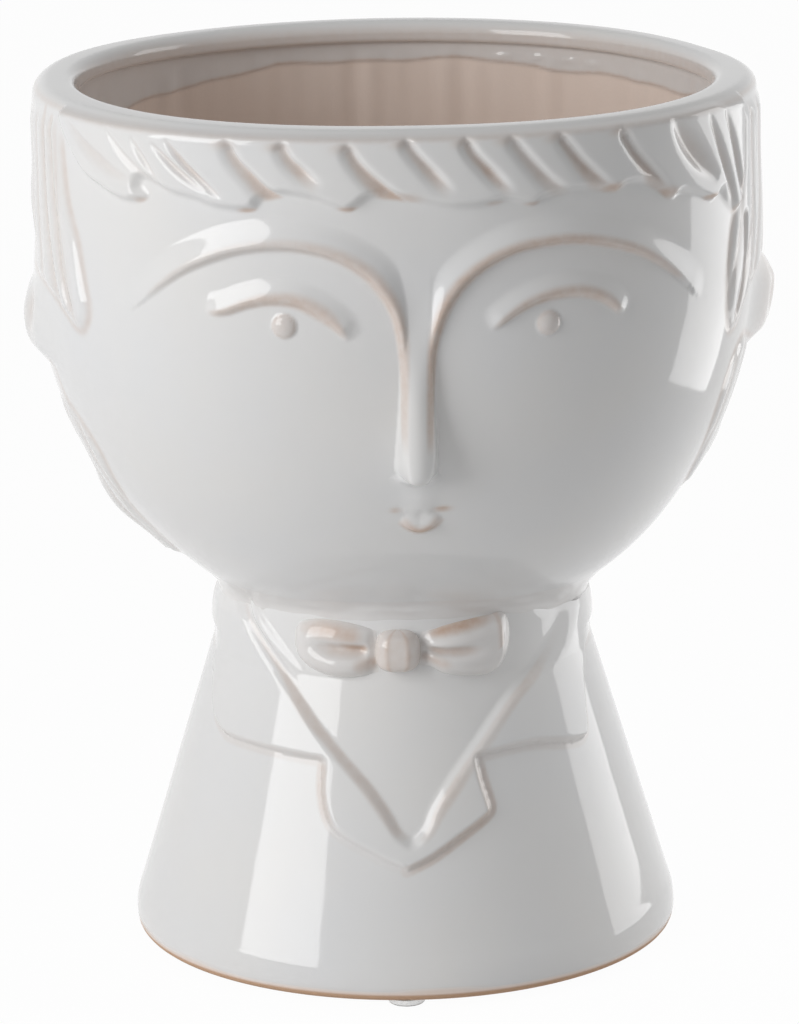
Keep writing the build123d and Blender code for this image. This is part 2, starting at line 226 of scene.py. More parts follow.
def stonewareGlaze(name, look, bare):
    # Stoneware dipped in a glossy white glaze: thick and cool in hollows, broken to tan on
    # edges, with bare bisque where the attribute bareClay says so; the same tan is painted
    # shade in the ears' hollows, over the right ear and on the hair beside it
    material = bpy.data.materials.new(name)
    tree = emptyTree(material)
    spot = addNode(tree, "ShaderNodeTexCoord").outputs["Object"]
    thin = addNode(tree, "ShaderNodeAttribute", {"attribute_name": "thinGlazeAndShade"}).outputs["Fac"]
    clay = addNode(tree, "ShaderNodeAttribute", {"attribute_name": "bareClay"}).outputs["Fac"]
    marks = {}
    for mark, size, detail in (("blotch", look["blotchSize"], 3), ("break", look["breakSize"], 4),
                               ("wave", look["waveSize"], 2), ("grain", bare["grainSize"], 6),
                               ("stain", bare["stainSize"], 4)):
        marks[mark] = addNode(tree, "ShaderNodeTexNoise", None, {
            "Vector": spot, "Scale": patternScale(size), "Detail": detail}).outputs["Fac"]
    broken = addNode(tree, "ShaderNodeMapRange", None, {
        "Value": marks["break"], "From Min": 0.25, "From Max": 0.7,
        "To Min": look["breakShares"][0], "To Max": look["breakShares"][1]})
    thinnessAndShade = addNode(tree, "ShaderNodeMath", {"operation": "MULTIPLY", "use_clamp": True}, {
        0: thin, 1: broken.outputs[0]}).outputs[0]
    tones = {}
    for tone, share, low, high in (("white", marks["blotch"], look["coolWhite"], look["white"]),
                                   ("glazed", thinnessAndShade, "white", look["clay"]),
                                   ("buff", marks["stain"], bare["buffDark"], bare["buff"]),
                                   ("bisque", thin, "buff", bare["footBuff"]),
                                   ("all", clay, "glazed", "bisque")):
        ends = [tones[end] if end in tones else linearColour(end) for end in (low, high)]
        tones[tone] = addNode(tree, "ShaderNodeMix", {"data_type": "RGBA"}, {
            0: share, 6: ends[0], 7: ends[1]}).outputs[2]
    roughness = addNode(tree, "ShaderNodeMapRange", None, {
        "Value": clay, "To Min": look["roughness"], "To Max": bare["roughness"]}).outputs[0]
    ripple = addNode(tree, "ShaderNodeBump", None, {
        "Strength": 1, "Distance": look["waveDepth"] * toMetres, "Height": marks["wave"]})
    tooth = addNode(tree, "ShaderNodeBump", None, {
        "Strength": clay, "Distance": bare["grainDepth"] * toMetres, "Height": marks["grain"],
        "Normal": ripple.outputs[0]})
    shader = addNode(tree, "ShaderNodeBsdfPrincipled", None, {
        "Base Color": tones["all"], "Roughness": roughness, "IOR": look["bending"],
        "Normal": tooth.outputs[0]})
    addNode(tree, "ShaderNodeOutputMaterial", None, {"Surface": shader.outputs[0]})
    return material


# The bare head: a rounded bowl under a nearly upright wall
headForm = {
    "halfWidth": 90.4, "halfDepth": 85.5, "widestLevel": 83, "chinHalfWidth": 48.5,
    "height": 127, "wall": 6.4, "floorLevel": 7,
    "rimWidth": 8.6, "rimRound": 3.2, "beadHeight": 5.6, "beadRound": 1.2,
    "sideRimWidth": 11.2,
    # roundness of the rim's outer edge, by azimuth
    "shoulders": [(-180, 3.2), (-130, 3.2), (-95, 4.6), (-60, 3.7), (0, 3.3), (60, 3.2), (95, 3.8),
                  (130, 3.2), (180, 3.2)],
    "sharpTurn": -25, "sharpSpread": 40, "sharpRound": 1.4,      # a crisper inner edge there
    "turnAngle": 3.7, "chinShift": 1.2, "planPower": 2.1, "planPowerSwing": 0.1,
    # the casting warped: cheeks and rim to one side, the rim down at the back and in at a corner
    "jawShift": -1.6, "jawLevels": (4, 34, 62, 100), "rimShift": -0.4, "rimTaper": 0.6,
    "rimLevels": (72, 112), "rimDip": 1.2, "dipLevels": (80, 124), "dipTurns": (60, 150),
    "flats": [(110, 17, 24, 4.3), (-130, 20, 20, -0.8)],      # azimuth, spread on each side, depth
    "meanRadius": 88,
    "footClay": 0.4, "rimClay": 0.3,
    "wornLine": (125.2, 0.7, 0.3),      # level, half height and clay of the worn start of the rim
}
beadFoot = headForm["height"] - headForm["beadHeight"]
bowlDrop = headForm["widestLevel"] / math.sqrt(
    1 - (headForm["chinHalfWidth"] / headForm["halfWidth"]) ** 2)


def planRadius(azimuth, inset=0):
    # the plan is a superellipse, azimuth 0 at the face
    angle = np.radians(azimuth)
    power = headForm["planPower"] + headForm["planPowerSwing"] * np.cos(angle)
    wide = np.abs(np.sin(angle) / (headForm["halfWidth"] - inset)) ** power
    deep = np.abs(np.cos(angle) / (headForm["halfDepth"] - inset)) ** power
    flat = 0
    for turn, before, after, depth in headForm["flats"]:
        away = (azimuth - turn) / np.where(azimuth < turn, before, after)
        flat = flat + depth * np.exp(-away ** 2)
    # the inside of the wall follows a flat by half
    follows = np.clip(1 - 0.5 * inset / headForm["rimWidth"], 0, 1)
    return (wide + deep) ** (-1 / power) - flat * follows


def girth(level, inset=0):
    # share of the widest outline that the bowl has at a level
    below = np.maximum(headForm["widestLevel"] - level, 0)
    return np.sqrt(np.maximum(1 - (below / (bowlDrop - inset)) ** 2, 0))


def headPoint(azimuth, level, inset=0, girthInset=0):
    # a point of the head, in the head's own frame
    azimuth, level = np.broadcast_arrays(azimuth, np.asarray(level, float))
    angle = np.radians(azimuth)
    radius = planRadius(azimuth, inset) * girth(level, girthInset)
    shift = headForm["chinShift"] * (1 - level / headForm["height"])
    jaw = between(headForm["jawLevels"], level)
    high = ease(*headForm["rimLevels"], level)
    shift = shift + (headForm["jawShift"] * jaw + headForm["rimShift"] * high) * np.sin(angle) ** 2
    radius = radius - headForm["rimTaper"] * high * np.sin(angle) ** 2
    dip = headForm["rimDip"] * ease(*headForm["dipLevels"], level)
    dip = dip * ease(*headForm["dipTurns"], np.abs(azimuth))
    return np.stack([shift + radius * np.sin(angle), -radius * np.cos(angle),
                     headBase + level - dip], -1)


def shoulderRound(azimuth):
    return smoothCurve(azimuth, headForm["shoulders"])


def headOutward(azimuth, level):
    # the way out of the wall, from points a small step to each side
    small = 0.2
    roundWay = headPoint(azimuth + small, level) - headPoint(azimuth - small, level)
    upWay = headPoint(azimuth, level + small) - headPoint(azimuth, level - small)
    outward = np.cross(roundWay, upWay)
    return outward / np.linalg.norm(outward, axis=-1, keepdims=True)


# Distances on the wall: run round it and run up it, so that a ridge keeps its width
runLevels = np.linspace(0, headForm["height"], 400)
runRadii = headForm["meanRadius"] * girth(runLevels)
runClimb = np.hypot(np.diff(runRadii), np.diff(runLevels))
runHeights = np.concatenate([[0], np.cumsum(runClimb)])
planAngles = np.linspace(0, 90, 181)
planAcross = planRadius(planAngles) * np.sin(np.radians(planAngles))


def headRun(azimuth, level):
    arc = np.radians(azimuth) * headForm["meanRadius"] * girth(level)
    return arc, np.interp(level, runLevels, runHeights)


def headLine(points, fromFront=False, steps=8):
    # points are (azimuth, level), or (distance across, level) as seen from the front
    line = smoothLine(points, steps)
    azimuth = line[:, 0]
    if fromFront:
        share = np.abs(line[:, 0]) / girth(line[:, 1])
        azimuth = np.sign(line[:, 0]) * np.interp(share, planAcross, planAngles)
    return np.stack(headRun(azimuth, line[:, 1]), -1)


# Face: each line is (across, level); brows run down into the sides of the nose
face = {
    "browLeft": [(-64.4, 83.6), (-59.7, 88.1), (-54.5, 92.2), (-47.7, 95.8), (-41, 98), (-33, 99),
                 (-25.5, 98.3), (-19, 96.1), (-13.5, 92.6), (-9.6, 87.8), (-7.2, 83), (-5.9, 76.7),
                 (-5.4, 69), (-5.4, 59.5), (-5.4, 54), (-5.4, 50)],
    "browRight": [(1.3, 50), (1.3, 54), (1.5, 59.5), (2.4, 73.5), (4, 80.2), (6.7, 86),
                  (10.2, 90.5), (15.2, 94.4), (22, 97.5), (29, 98.6), (36, 98.7), (44.4, 97),
                  (52.6, 93.7), (60, 88.5), (65.2, 83.5)],
    "browRise": 2.1, "browRoll": 5.9, "bridgeRoll": 2.6,
    # along each line: its share of the rise, where it turns into the bridge, the width of the
    # broken glaze, and how much of it shows
    "browLeftSizes": [(0, 0.3), (0.2, 1), (0.62, 1), (1, 0.35)], "browLeftBridge": (0.58, 0.7),
    "browRightSizes": [(0, 0.35), (0.38, 1), (0.8, 1), (1, 0.3)], "browRightBridge": (0.4, 0.28),
    "browEnds": (0, 0.05, 0.94, 1), "lidEnds": (0, 0.12, 0.9, 1),
    "browLeftWidths": [(0, 1.2), (0.2, 2.4), (0.45, 3.2), (0.6, 3.7), (0.72, 3), (0.85, 1.8), (1, 1.4)],
    "browRightWidths": [(0, 1.5), (0.2, 2.2), (0.34, 3.2), (0.5, 2.9), (0.8, 2.4), (1, 1)],
    "lidLeftWidths": [(0, 1.4), (0.25, 2.2), (0.5, 3.2), (0.75, 3.8), (0.9, 2.4), (1, 0.8)],
    "lidRightWidths": [(0, 0.8), (0.12, 2), (0.35, 2.8), (0.7, 3), (0.9, 2.2), (1, 1.4)],
    "browLeftClays": [(0, 0.1), (0.1, 0.2), (0.35, 0.32), (0.6, 0.6), (0.8, 0.55), (1, 0.3)],
    "browRightClays": [(0, 0.4), (0.2, 0.75), (0.6, 0.7), (0.9, 0.5), (1, 0.2)],
    "lidLeftClays": [(0, 0.4), (0.3, 0.55), (0.8, 0.6), (1, 0.4)],
    "lidRightClays": [(0, 0.4), (0.3, 0.6), (0.8, 0.6), (1, 0.4)],
    "lidLeft": [(-51, 81.9), (-46, 82.6), (-41, 84.6), (-36, 85.8), (-30.6, 85.7), (-26.4, 84),
                (-22.3, 81.4), (-19.2, 78.4), (-17.8, 76.4)],
    "lidRight": [(15.8, 78.3), (20, 81.3), (24.7, 84), (30.3, 85.7), (36, 86), (40.6, 85),
                 (44.4, 82.9), (48, 79)],
    "lidRise": 1.5, "lidRoll": 4.4,
    "pupils": [(-32.5, 80.4), (29.7, 79.8)], "pupilRadius": 3, "pupilRise": 1.3,
    "pupilClay": 0.3, "pupilEdgeClay": 0.2,
    "noseRises": [(38.6, 0), (41.2, 0.5), (43, 2.6), (44.8, 6), (46.6, 7.8), (49, 8.1), (53, 6.9),
                  (60, 4.7), (68, 3.1), (75, 2), (82, 0.9), (88, 0.2), (96, 0)],
    "noseTopHalves": [(36, 0.8), (43, 1.2), (48, 2), (53, 2.3), (66, 2.2), (80, 2.4), (98, 2.4)],
    "noseFootHalves": [(36, 8), (43, 7.4), (48, 6.4), (54, 5.9), (66, 5.4), (80, 4.8), (98, 4.8)],
    "noseCentre": -1.9, "noseTipDrop": 1.4, "noseTipHalf": 6, "ridgeHalf": 3,
    "rightTopShare": 1.45, "rightFootShare": 0.94,      # the nose's right side is fuller
    "lip": [(-6, 30), (-4, 28), (-1, 27), (2, 28), (4.4, 30.4)],
    "lipRise": 1.7, "lipRoll": 4, "lipWidth": 2.8,
    "mouthCorners": [(-7, 32.8, 1.3, 0.6), (4.3, 33, 1.9, 1)],      # with half length and clay
    "cornerHalf": 0.8, "cornerDepth": 1.8,
    "philtrumLevels": (31, 34, 36, 41), "philtrumMiddle": -0.7, "philtrumHalf": 4.2,
    "philtrumRise": 0.7,
}


def stepRidge(across, slope, roll):
    # a ridge that drops steeply on its right side and rolls off softly on its left
    away = (across - 0.8 * slope) / roll
    fall = 0.5 * ease(0, 1, away) + 0.5 * np.clip(away, 0, 1)
    return ease(-0.5 * slope, 0.62 * slope, across) * (1 - fall)


def edgeBand(across, width):
    # where the glaze breaks: the steep side of a ridge, crisp below and soft above
    return between([share * width for share in (-0.7, -0.25, 0.2, 0.85)], across)


def ridges(u, v, kind, relief):
    # the left and the right line of a kind, brow or lid, laid over the relief so far
    height, thin = relief
    for name in (kind + "Left", kind + "Right"):
        across, share = alongLine(u, v, headLine(face[name], True))
        width = smoothCurve(share, face[name + "Widths"])
        fade = between(face[kind + "Ends"], share)
        if kind == "brow":
            size = np.interp(share, *np.transpose(face[name + "Sizes"]))
            nearNose = ease(*face[name + "Bridge"], share)
            roll = face["browRoll"] + (face["bridgeRoll"] - face["browRoll"]) * nearNose
            slope = 0.8 + 0.3 * width
        else:
            size = fade
            roll = face["lidRoll"]
            slope = 0.8 + 0.4 * width
        height = np.maximum(height, face[kind + "Rise"] * size * stepRidge(across, slope, roll))
        worn = fade * smoothCurve(share, face[name + "Clays"])
        thin = np.maximum(thin, edgeBand(across - 0.25 * width, width) * worn)
    return height, thin


def faceRelief(u, v, level):
    height, thin = ridges(u, v, "brow", (np.zeros(u.shape), np.zeros(u.shape)))
    height, thin = ridges(u, v, "lid", (height, thin))
    for spot in face["pupils"]:
        centre = headLine([spot, spot], True)[0]
        share = np.hypot(u - centre[0], v - centre[1]) / face["pupilRadius"]
        height += face["pupilRise"] * np.clip(1 - share ** 2, 0, 1) ** 0.65
        worn = face["pupilClay"] * (1 - ease(0.75, 1.12, share))
        worn = worn + face["pupilEdgeClay"] * np.exp(-((share - 0.9) / 0.12) ** 2)
        thin = np.maximum(thin, worn)
    offset = u - face["noseCentre"]
    tipLevel = level + face["noseTipDrop"] * (1 - np.clip(offset / face["noseTipHalf"], -1, 1) ** 2)
    rise = smoothCurve(tipLevel, face["noseRises"])
    top = smoothCurve(level, face["noseTopHalves"])
    foot = smoothCurve(level, face["noseFootHalves"])
    top = np.where(offset > 0, face["rightTopShare"] * top, top)
    foot = np.where(offset > 0, face["rightFootShare"] * foot, foot)
    nose = rise * (1 - ease(0, 1, (np.abs(offset) - top) / (foot - top)))
    nose = nose - 0.12 * np.minimum(offset ** 2, face["ridgeHalf"] ** 2) * ease(1, 4, rise)
    height = np.maximum(height, nose)
    across, share = alongLine(u, v, headLine(face["lip"], True))
    size = np.sin(np.pi * share) ** 0.6
    height += face["lipRise"] * size * stepRidge(across, 1.8, face["lipRoll"])
    thin = np.maximum(thin, edgeBand(across - 0.5, face["lipWidth"]) * size)
    for spotAcross, spotLevel, long, clay in face["mouthCorners"]:
        centre = headLine([(spotAcross, spotLevel)] * 2, True)[0]
        dent = np.exp(-((u - centre[0]) / long) ** 2 - ((v - centre[1]) / face["cornerHalf"]) ** 2)
        height -= face["cornerDepth"] * dent
        thin = np.maximum(thin, clay * dent)
    philtrum = np.exp(-((u - face["philtrumMiddle"]) / face["philtrumHalf"]) ** 2)
    philtrum = philtrum * between(face["philtrumLevels"], level)
    return height + face["philtrumRise"] * philtrum, thin


# Fringe: lines are (azimuth, level); each gap runs from the rim down, with its half width
# at both ends, how deep it is cut, and how much clay shows in it
fringe = {
    "rise": 2.15, "overhang": 1.1, "slopeReach": 2.6,
    "edge": [(-67, 128), (-66, 124), (-64.4, 119.8), (-61.4, 115), (-58.5, 111.2), (-54.4, 109),
             (-50.2, 107), (-46.8, 107), (-44.4, 109), (-45.8, 111.2), (-45, 113), (-42.2, 111.6),
             (-39.7, 110.2), (-35.7, 109.2), (-33, 108), (-28.9, 107.4), (-26, 108), (-24.8, 110.2),
             (-22, 111.5), (-20.4, 111.7), (-16.6, 110.6), (-13.6, 108.9), (-11.4, 108.2),
             (-9.7, 109.4), (-8, 111.2), (-4.5, 111.4), (-1.1, 110.3), (0.6, 109.6), (4.5, 108.4),
             (8, 108.3), (11.4, 109), (13.5, 109.4), (17.4, 108.2), (19.5, 109.8), (23, 110.6),
             (27, 110.8), (31.5, 109.5), (34, 111), (38.5, 109.6), (42.3, 105.6), (44.5, 106.4),
             (48.5, 105), (52.5, 102.7), (54.5, 104), (57.2, 100.2), (60.2, 97.4), (63, 101),
             (64, 112), (64, 128)],
    "gaps": [
        ([(-30.4, 125), (-28.7, 120), (-26.5, 116.5), (-24, 113), (-20.4, 109.8)], 0.6, 2, 1, 0.5),
        ([(-22, 125), (-20.3, 120.5), (-18.5, 118), (-15, 113.8)], 0.6, 1.8, 0.9, 0.5),
        ([(-12, 125), (-9.5, 119), (-6, 114), (-1.4, 108.8)], 0.5, 2.8, 1, 0.6),
        ([(-3, 126), (-1.1, 122), (1.3, 118), (5.4, 111.6)], 0.5, 1.8, 0.9, 0.45),
        ([(6.4, 126), (8.2, 121.3), (10.8, 117), (14.8, 111)], 0.5, 1.4, 0.95, 0.6),
        ([(13.2, 126), (15.2, 122.4), (17.6, 118), (20.4, 113.8), (25, 109)], 0.6, 2.2, 0.8, 0.35),
        ([(21, 126), (23.6, 121), (26.5, 116), (32, 109)], 0.5, 2.8, 0.9, 0.55),
        ([(31.6, 126), (35.2, 118), (39, 112), (43.4, 105)], 0.5, 2.8, 0.9, 0.5)],
    # hollows between strands, the same on both sides: line, half width, depth, and clay
    "hollows": [
        ([(-62.5, 125), (-58.5, 120), (-54, 116.4), (-50.2, 113.8), (-46.4, 112.4)], 1.6, 0.45, 0.2),
        ([(-52, 125), (-49, 119.6), (-45, 115), (-40, 110.5)], 0.9, 0.35, 0.1),
        ([(-46.6, 123.5), (-44.2, 118), (-41.4, 112.6)], 0.7, 0.4, 0.15),
        ([(-42.6, 122.6), (-38.6, 117), (-33.6, 111.8)], 0.7, 0.5, 0.3),
        ([(-40.2, 123.8), (-36.5, 117.4), (-31, 110.6)], 0.8, 0.6, 0.45),
        ([(42, 125.5), (45.2, 119), (49, 113), (53, 108.4)], 2.6, 1, 0.3),
        ([(50.4, 124.5), (53.4, 116.5), (56.3, 108), (59.6, 97)], 1.1, 0.75, 0.3),
        ([(55, 124.5), (58, 116), (60.4, 106), (62.6, 97)], 1, 0.7, 0.3)],
    # azimuth, level, half width and half height of a patch, and how much clay shows
    "tips": [(-45.6, 107.7, 2, 0.9, 0.5), (-27, 107.7, 2.4, 0.8, 0.8), (-24, 110, 1.2, 1, 0.4),
             (-11.4, 108.6, 2.4, 0.8, 0.75), (-3, 110.9, 4.4, 1.6, 0.5), (11.5, 109.3, 2, 0.7, 0.4),
             (17.6, 108.6, 2.2, 0.7, 0.5), (30.8, 110.6, 3.4, 1.4, 0.75), (41, 107.2, 3.4, 1.7, 0.75),
             (51.8, 103.9, 2.6, 0.9, 0.85), (59.8, 98.2, 1.6, 1.6, 0.5)],
    # worn spots where the gaps meet the rim: half width, half height, how far below the gap's
    # first point, and clay
    "topPatch": (2.6, 1.3, 1.6, 0.42),
    # width of the lower edge, and where along it that changes
    "edgeWidth": 2.4, "narrower": (44, 50, 0.7), "wider": (52, 57, 1.8),
}


def fringeRelief(u, v, azimuth):
    # a lock overhangs each gap on its right, and the lock on its left slopes into it
    depth = insideDepth(u, v, headLine(fringe["edge"], steps=4))
    edge = fringe["edgeWidth"] - fringe["narrower"][2] * ease(*fringe["narrower"][:2], azimuth)
    edge = edge + fringe["wider"][2] * ease(*fringe["wider"][:2], azimuth)
    mass = fringe["rise"] * ease(-0.4, edge, depth)
    clipped = ease(-1.1, 0.1, depth)
    thin = np.zeros(u.shape)
    topWide, topTall, topDrop, topClay = fringe["topPatch"]
    for points, topHalf, footHalf, cut, clay in fringe["gaps"]:
        across, share = alongLine(u, v, headLine(points), 8)
        half = topHalf + (footHalf - topHalf) * share
        slope = np.clip(1 + across / (fringe["slopeReach"] + half), 0, 1) ** 1.6
        gap = np.where(across > 0, np.exp(-(across / fringe["overhang"]) ** 2), slope)
        run = between((0, 0.16, 0.82 if cut == 1 else 0.5, 1), share)
        mass *= 1 - cut * gap * run
        floor = (1 - ease(0, 0.8, across)) * (1 - ease(0.4, 1.3, -across / (1.3 * half + 0.5)))
        thin = np.maximum(thin, clay * floor * run * (0.5 + 1.2 * share) * clipped)
        topU, topV = headRun(*points[0])
        patch = np.exp(-((u - topU) / topWide) ** 2 - ((v - topV + topDrop) / topTall) ** 2)
        thin = np.maximum(thin, topClay * patch)
    for points, half, cut, clay in fringe["hollows"]:
        across, share = alongLine(u, v, headLine(points), 8)
        run = np.sin(np.pi * share) ** 0.8
        gap = np.exp(-(across / (half * (0.5 + 0.5 * run))) ** 2) * run
        mass *= 1 - cut * gap
        thin = np.maximum(thin, clay * gap * clipped)
    for turn, level, wide, tall, clay in fringe["tips"]:
        spotU, spotV = headRun(turn, level)
        patch = np.exp(-(((u - spotU) / wide) ** 2 + ((v - spotV) / tall) ** 2) ** 1.5)
        thin = np.maximum(thin, clay * patch * ease(-0.7, 0.1, depth))
    return mass, thin


# Hair on the sides and the back: outlines are (azimuth, level), with the ear left out
sideHair = {
    "left": [(-67, 129), (-66.2, 122.8), (-65.3, 111.7), (-64, 102.4), (-61.4, 94.4), (-59.6, 86),
             (-58, 78), (-59.8, 72.5), (-62.7, 72), (-66, 75), (-71.6, 78.5), (-81, 80.6),
             (-90, 81), (-97, 78.5), (-100.5, 71), (-101, 63), (-97, 57), (-86, 56.5),
             (-77.5, 58.8), (-75.6, 51.5), (-70.4, 46), (-67.4, 38.4), (-69.4, 27), (-72.4, 21.5),
             (-71.2, 15), (-73, 9), (-84, 7), (-110, 6), (-200, 6), (-200, 129)],
    "right": [(62, 129), (62.5, 112), (60.8, 101), (58.6, 94), (57.5, 84.4), (58, 74), (60.5, 67.5),
              (63.8, 68.5), (66.5, 74), (72, 78.3), (81, 80.4), (90, 81), (97, 78.5),
              (100.5, 71), (101, 63), (97, 57), (86, 57.5), (74, 63), (68.5, 64.4), (64.4, 58.6),
              (63.4, 47), (65, 38), (66.8, 31), (69, 26), (73, 23.5), (80, 22.3), (92, 21.5),
              (110, 15), (140, 10), (200, 6), (200, 129)],
    # height of the hair over the wall by level, at the sides
    "leftRises": [(3, 2.6), (9, 2.4), (14, 2.5), (20, 3.5), (25, 2.9), (30, 1.2), (36, 0.4), (46, 0.5),
                  (52, -1.1), (66, -0.6), (80, -0.2), (84, -0.3), (89, 0.2), (95, 1), (100, 1),
                  (106, 0.6), (116, 0.6), (120, 0.2), (127, 0)],
    "rightRises": [(18, -0.4), (22, 0), (25, 1.1), (30, 2.6), (36, 2.4), (41, 1), (46, 0.4), (52, -0.1),
                   (58, 0.2), (66, 0.6), (84, 0.9), (95, 0.8), (106, 0.6), (112, 0.4), (127, 0.3)],
    # the rise in front of the sides and behind them, and where each turns into the next
    "frontRise": 1.4, "frontDrop": 0.5, "frontTurns": (72, 87), "backRise": 0.65,
    "backTurns": (108, 140), "topLevels": (119, 123.5),
    "lockDepth": 0.9, "frontLockAngle": 5.2, "backLockAngle": 9, "widerFrom": 96,
    "sweepAngle": 6, "sweepEnd": (66, 104), "swayAngle": 1.2, "swayTurns": (70, 110),
    # clay tint in the grooves, painted shade all over at and behind the right ear, and glaze worn off
    # along the outline
    "grooveAndShadeClay": 0.3, "rightShadeTurn": 94, "rightShadeSpread": 12, "edgeClay": 0.35, "edgeHalf": 1.1,
    "grooves": [([(-70, 122), (-69.6, 110), (-69, 101), (-67, 88.4), (-63.6, 77)], 0.8, 0.7),
                ([(-73.5, 124), (-73.8, 110), (-72.5, 96), (-69.5, 85), (-67, 78)], 0.7, 0.5),
                ([(63.5, 96), (63.4, 88), (62.9, 82.7), (61.6, 73)], 0.8, 0.7),
                ([(68, 120), (68.4, 105), (68, 92), (66.5, 80)], 0.8, 0.6)],
}


def sideHairRelief(u, v, azimuth, level):
    # locks that sweep forward at the cheeks, and are wider and sway a little at the back
    height = np.zeros(u.shape)
    thin = np.zeros(u.shape)
    turn = np.abs(azimuth)
    sweep = sideHair["sweepAngle"] * (1 - ease(*sideHair["sweepEnd"], level))
    sweep = sweep * (1 - ease(*sideHair["sweepEnd"], turn))
    sway = sideHair["swayAngle"] * np.sin(level / 13 + turn / 19) * ease(*sideHair["swayTurns"], turn)
    wider = np.maximum(turn - sideHair["widerFrom"], 0)
    phase = (turn - wider + sweep) / sideHair["frontLockAngle"]
    phase = phase + (wider + sway) / sideHair["backLockAngle"]
    lock = np.abs(np.sin(np.pi * phase)) ** 0.7
    cut = sideHair["lockDepth"] * (1 - lock) * (0.5 + 0.5 * ease(66, 90, turn))
    # painted shade: near the right ear the hair is darkened all over
    rightSideShade = np.exp(-((azimuth - sideHair["rightShadeTurn"]) / sideHair["rightShadeSpread"]) ** 2)
    for name in ("left", "right"):
        depth = insideDepth(u, v, headLine(sideHair[name], steps=3))
        side = smoothCurve(level, sideHair[name + "Rises"])
        front = sideHair["frontRise"] - sideHair["frontDrop"] * (1 - ease(66, 84, level))
        crown = front + (side - front) * ease(*sideHair["frontTurns"], turn)
        crown = crown + (sideHair["backRise"] - crown) * ease(*sideHair["backTurns"], turn)
        held = (turn > 40) * ease(-0.5, 3.6, depth) * ((azimuth < 0) == (name == "left"))
        held = held * (1 - ease(*sideHair["topLevels"], level))
        height = np.where(held > 0, (crown - cut) * held, height)
        # clay tint in the grooves between locks, and painted shade all over near the right ear
        worn = sideHair["grooveAndShadeClay"] * (1 - lock * (1 - rightSideShade)) * ease(0, 3, depth) * held
        edge = sideHair["edgeClay"] * np.exp(-((depth - 0.3) / sideHair["edgeHalf"]) ** 2)
        thin = np.maximum(thin, np.maximum(worn, edge * (1 - ease(114, 122, level))))
    for points, half, cut in sideHair["grooves"]:
        gap = 1 - ease(0.2, 1, np.abs(alongLine(u, v, headLine(points), 5)[0]) / (half + 0.9))
        height *= 1 - cut * gap
        thin = np.maximum(thin, sideHair["grooveAndShadeClay"] * gap)
    return height, thin


# Ears: rises are (level, height over the wall)
ear = {
    "leftRises": [(52, 0), (54, 0), (55, 0), (57.4, 0.2), (59.5, 1.8), (62.5, 3.5), (67.9, 3.5),
                  (73.2, 1.9), (76, 0.6), (78, 0), (80, 0)],
    "rightRises": [(54, 0), (56.6, 0), (57.8, 0.2), (60, 3.5), (62.5, 6), (67.9, 7), (73.2, 6.5),
                   (76.5, 4.4), (78.6, 2.7), (80.5, 1), (81.8, 0), (84, 0)],
    "turns": (71, 89, 93.5, 99),      # where it starts, its crest, and where it ends
    "hollowTurn": 85, "hollowLevel": 70, "hollowHalfTurn": 2.6, "hollowHalfHeight": 5.5,
    # the tint in the hollow is painted shade there; the tint over the right ear is painted shade
    "hollowDepth": 1.3, "hollowShadeClay": 0.3, "rightEarShadeClay": 0.4,
}


def earRelief(azimuth, level):
    turn = np.abs(azimuth)
    rises = [smoothCurve(level, ear[side + "Rises"]) for side in ("left", "right")]
    rise = np.maximum(np.where(azimuth < 0, *rises), 0)
    body = between(ear["turns"], turn)
    hollow = np.exp(-((turn - ear["hollowTurn"]) / ear["hollowHalfTurn"]) ** 2
                    - ((level - ear["hollowLevel"]) / ear["hollowHalfHeight"]) ** 2)
    inside = ease(0, 2, rise)
    # painted shade: a clay tint in each ear's hollow and over the whole right ear
    worn = np.maximum(ear["hollowShadeClay"] * hollow, ear["rightEarShadeClay"] * (azimuth > 0) * body) * inside
    return rise * body - ear["hollowDepth"] * hollow * inside, worn


def headRelief(azimuth, level):
    # hair lies over the face, and the ear over the hair; the glaze is thin where the rim starts
    u, v = headRun(azimuth, level)
    facePart, thin = faceRelief(u, v, level)
    fringePart, fringeThin = fringeRelief(u, v, azimuth)
    sidePart, sideThin = sideHairRelief(u, v, azimuth, level)
    earPart, earThin = earRelief(azimuth, level)
    height = np.maximum(np.where(sidePart != 0, sidePart, facePart), fringePart)
    height = np.where(earPart > 0, np.maximum(height, earPart), height)
    wornLevel, wornHalf, grooveAndShadeClay = headForm["wornLine"]
    start = np.exp(-((level - wornLevel) / wornHalf) ** 2) * grooveAndShadeClay
    return height, np.max([thin, fringeThin, sideThin, earThin, start], axis=0)


def turned(points, angle):
    # points turned about the upright axis
    cosine = math.cos(math.radians(angle))
    sine = math.sin(math.radians(angle))
    x = points[..., 0] * cosine - points[..., 1] * sine
    y = points[..., 0] * sine + points[..., 1] * cosine
    return np.stack([x, y, points[..., 2]], -1)


# The grid of each skin: up to an azimuth or a level, and the step there
headGrid = {
    "columns": [(7, 0.24), (66, 0.34), (102, 0.5), (180, 1.2)],
    "rows": [(20, 1.2), (36, 0.7), (44, 0.36), (104, 0.55), (122.2, 0.42)],
    "footShares": (0.12, 0.35, 0.6, 0.8, 0.93), "floorShares": (0.97, 0.85, 0.6, 0.35, 0.12),
    "shoulderRows": 12, "innerRoundRows": 10, "beadRows": 6,
}
bustGrid = {
    "columns": [(68, 0.5), (180, 2)],
    "rows": [(12, 0.9), (28, 1.2), (84, 0.42), (92.2, 0.5)],
}


def spread(start, stops):
    # values from start through each (stop, step)
    values = [start]
    for stop, step in stops:
        count = max(round((stop - values[-1]) / step), 1)
        values += list(np.linspace(values[-1], stop, count + 1)[1:])
    return np.array(values)


def allRound(grid):
    # azimuths all the way round, the same to the left and to the right
    right = spread(0, grid["columns"])
    return np.concatenate([-right[:0:-1], right[:-1]])


def waves(start, angle, parts):
    # a level that wavers: parts are (count round, size, phase)
    return start + sum(size * np.sin(count * angle + phase) for count, size, phase in parts)


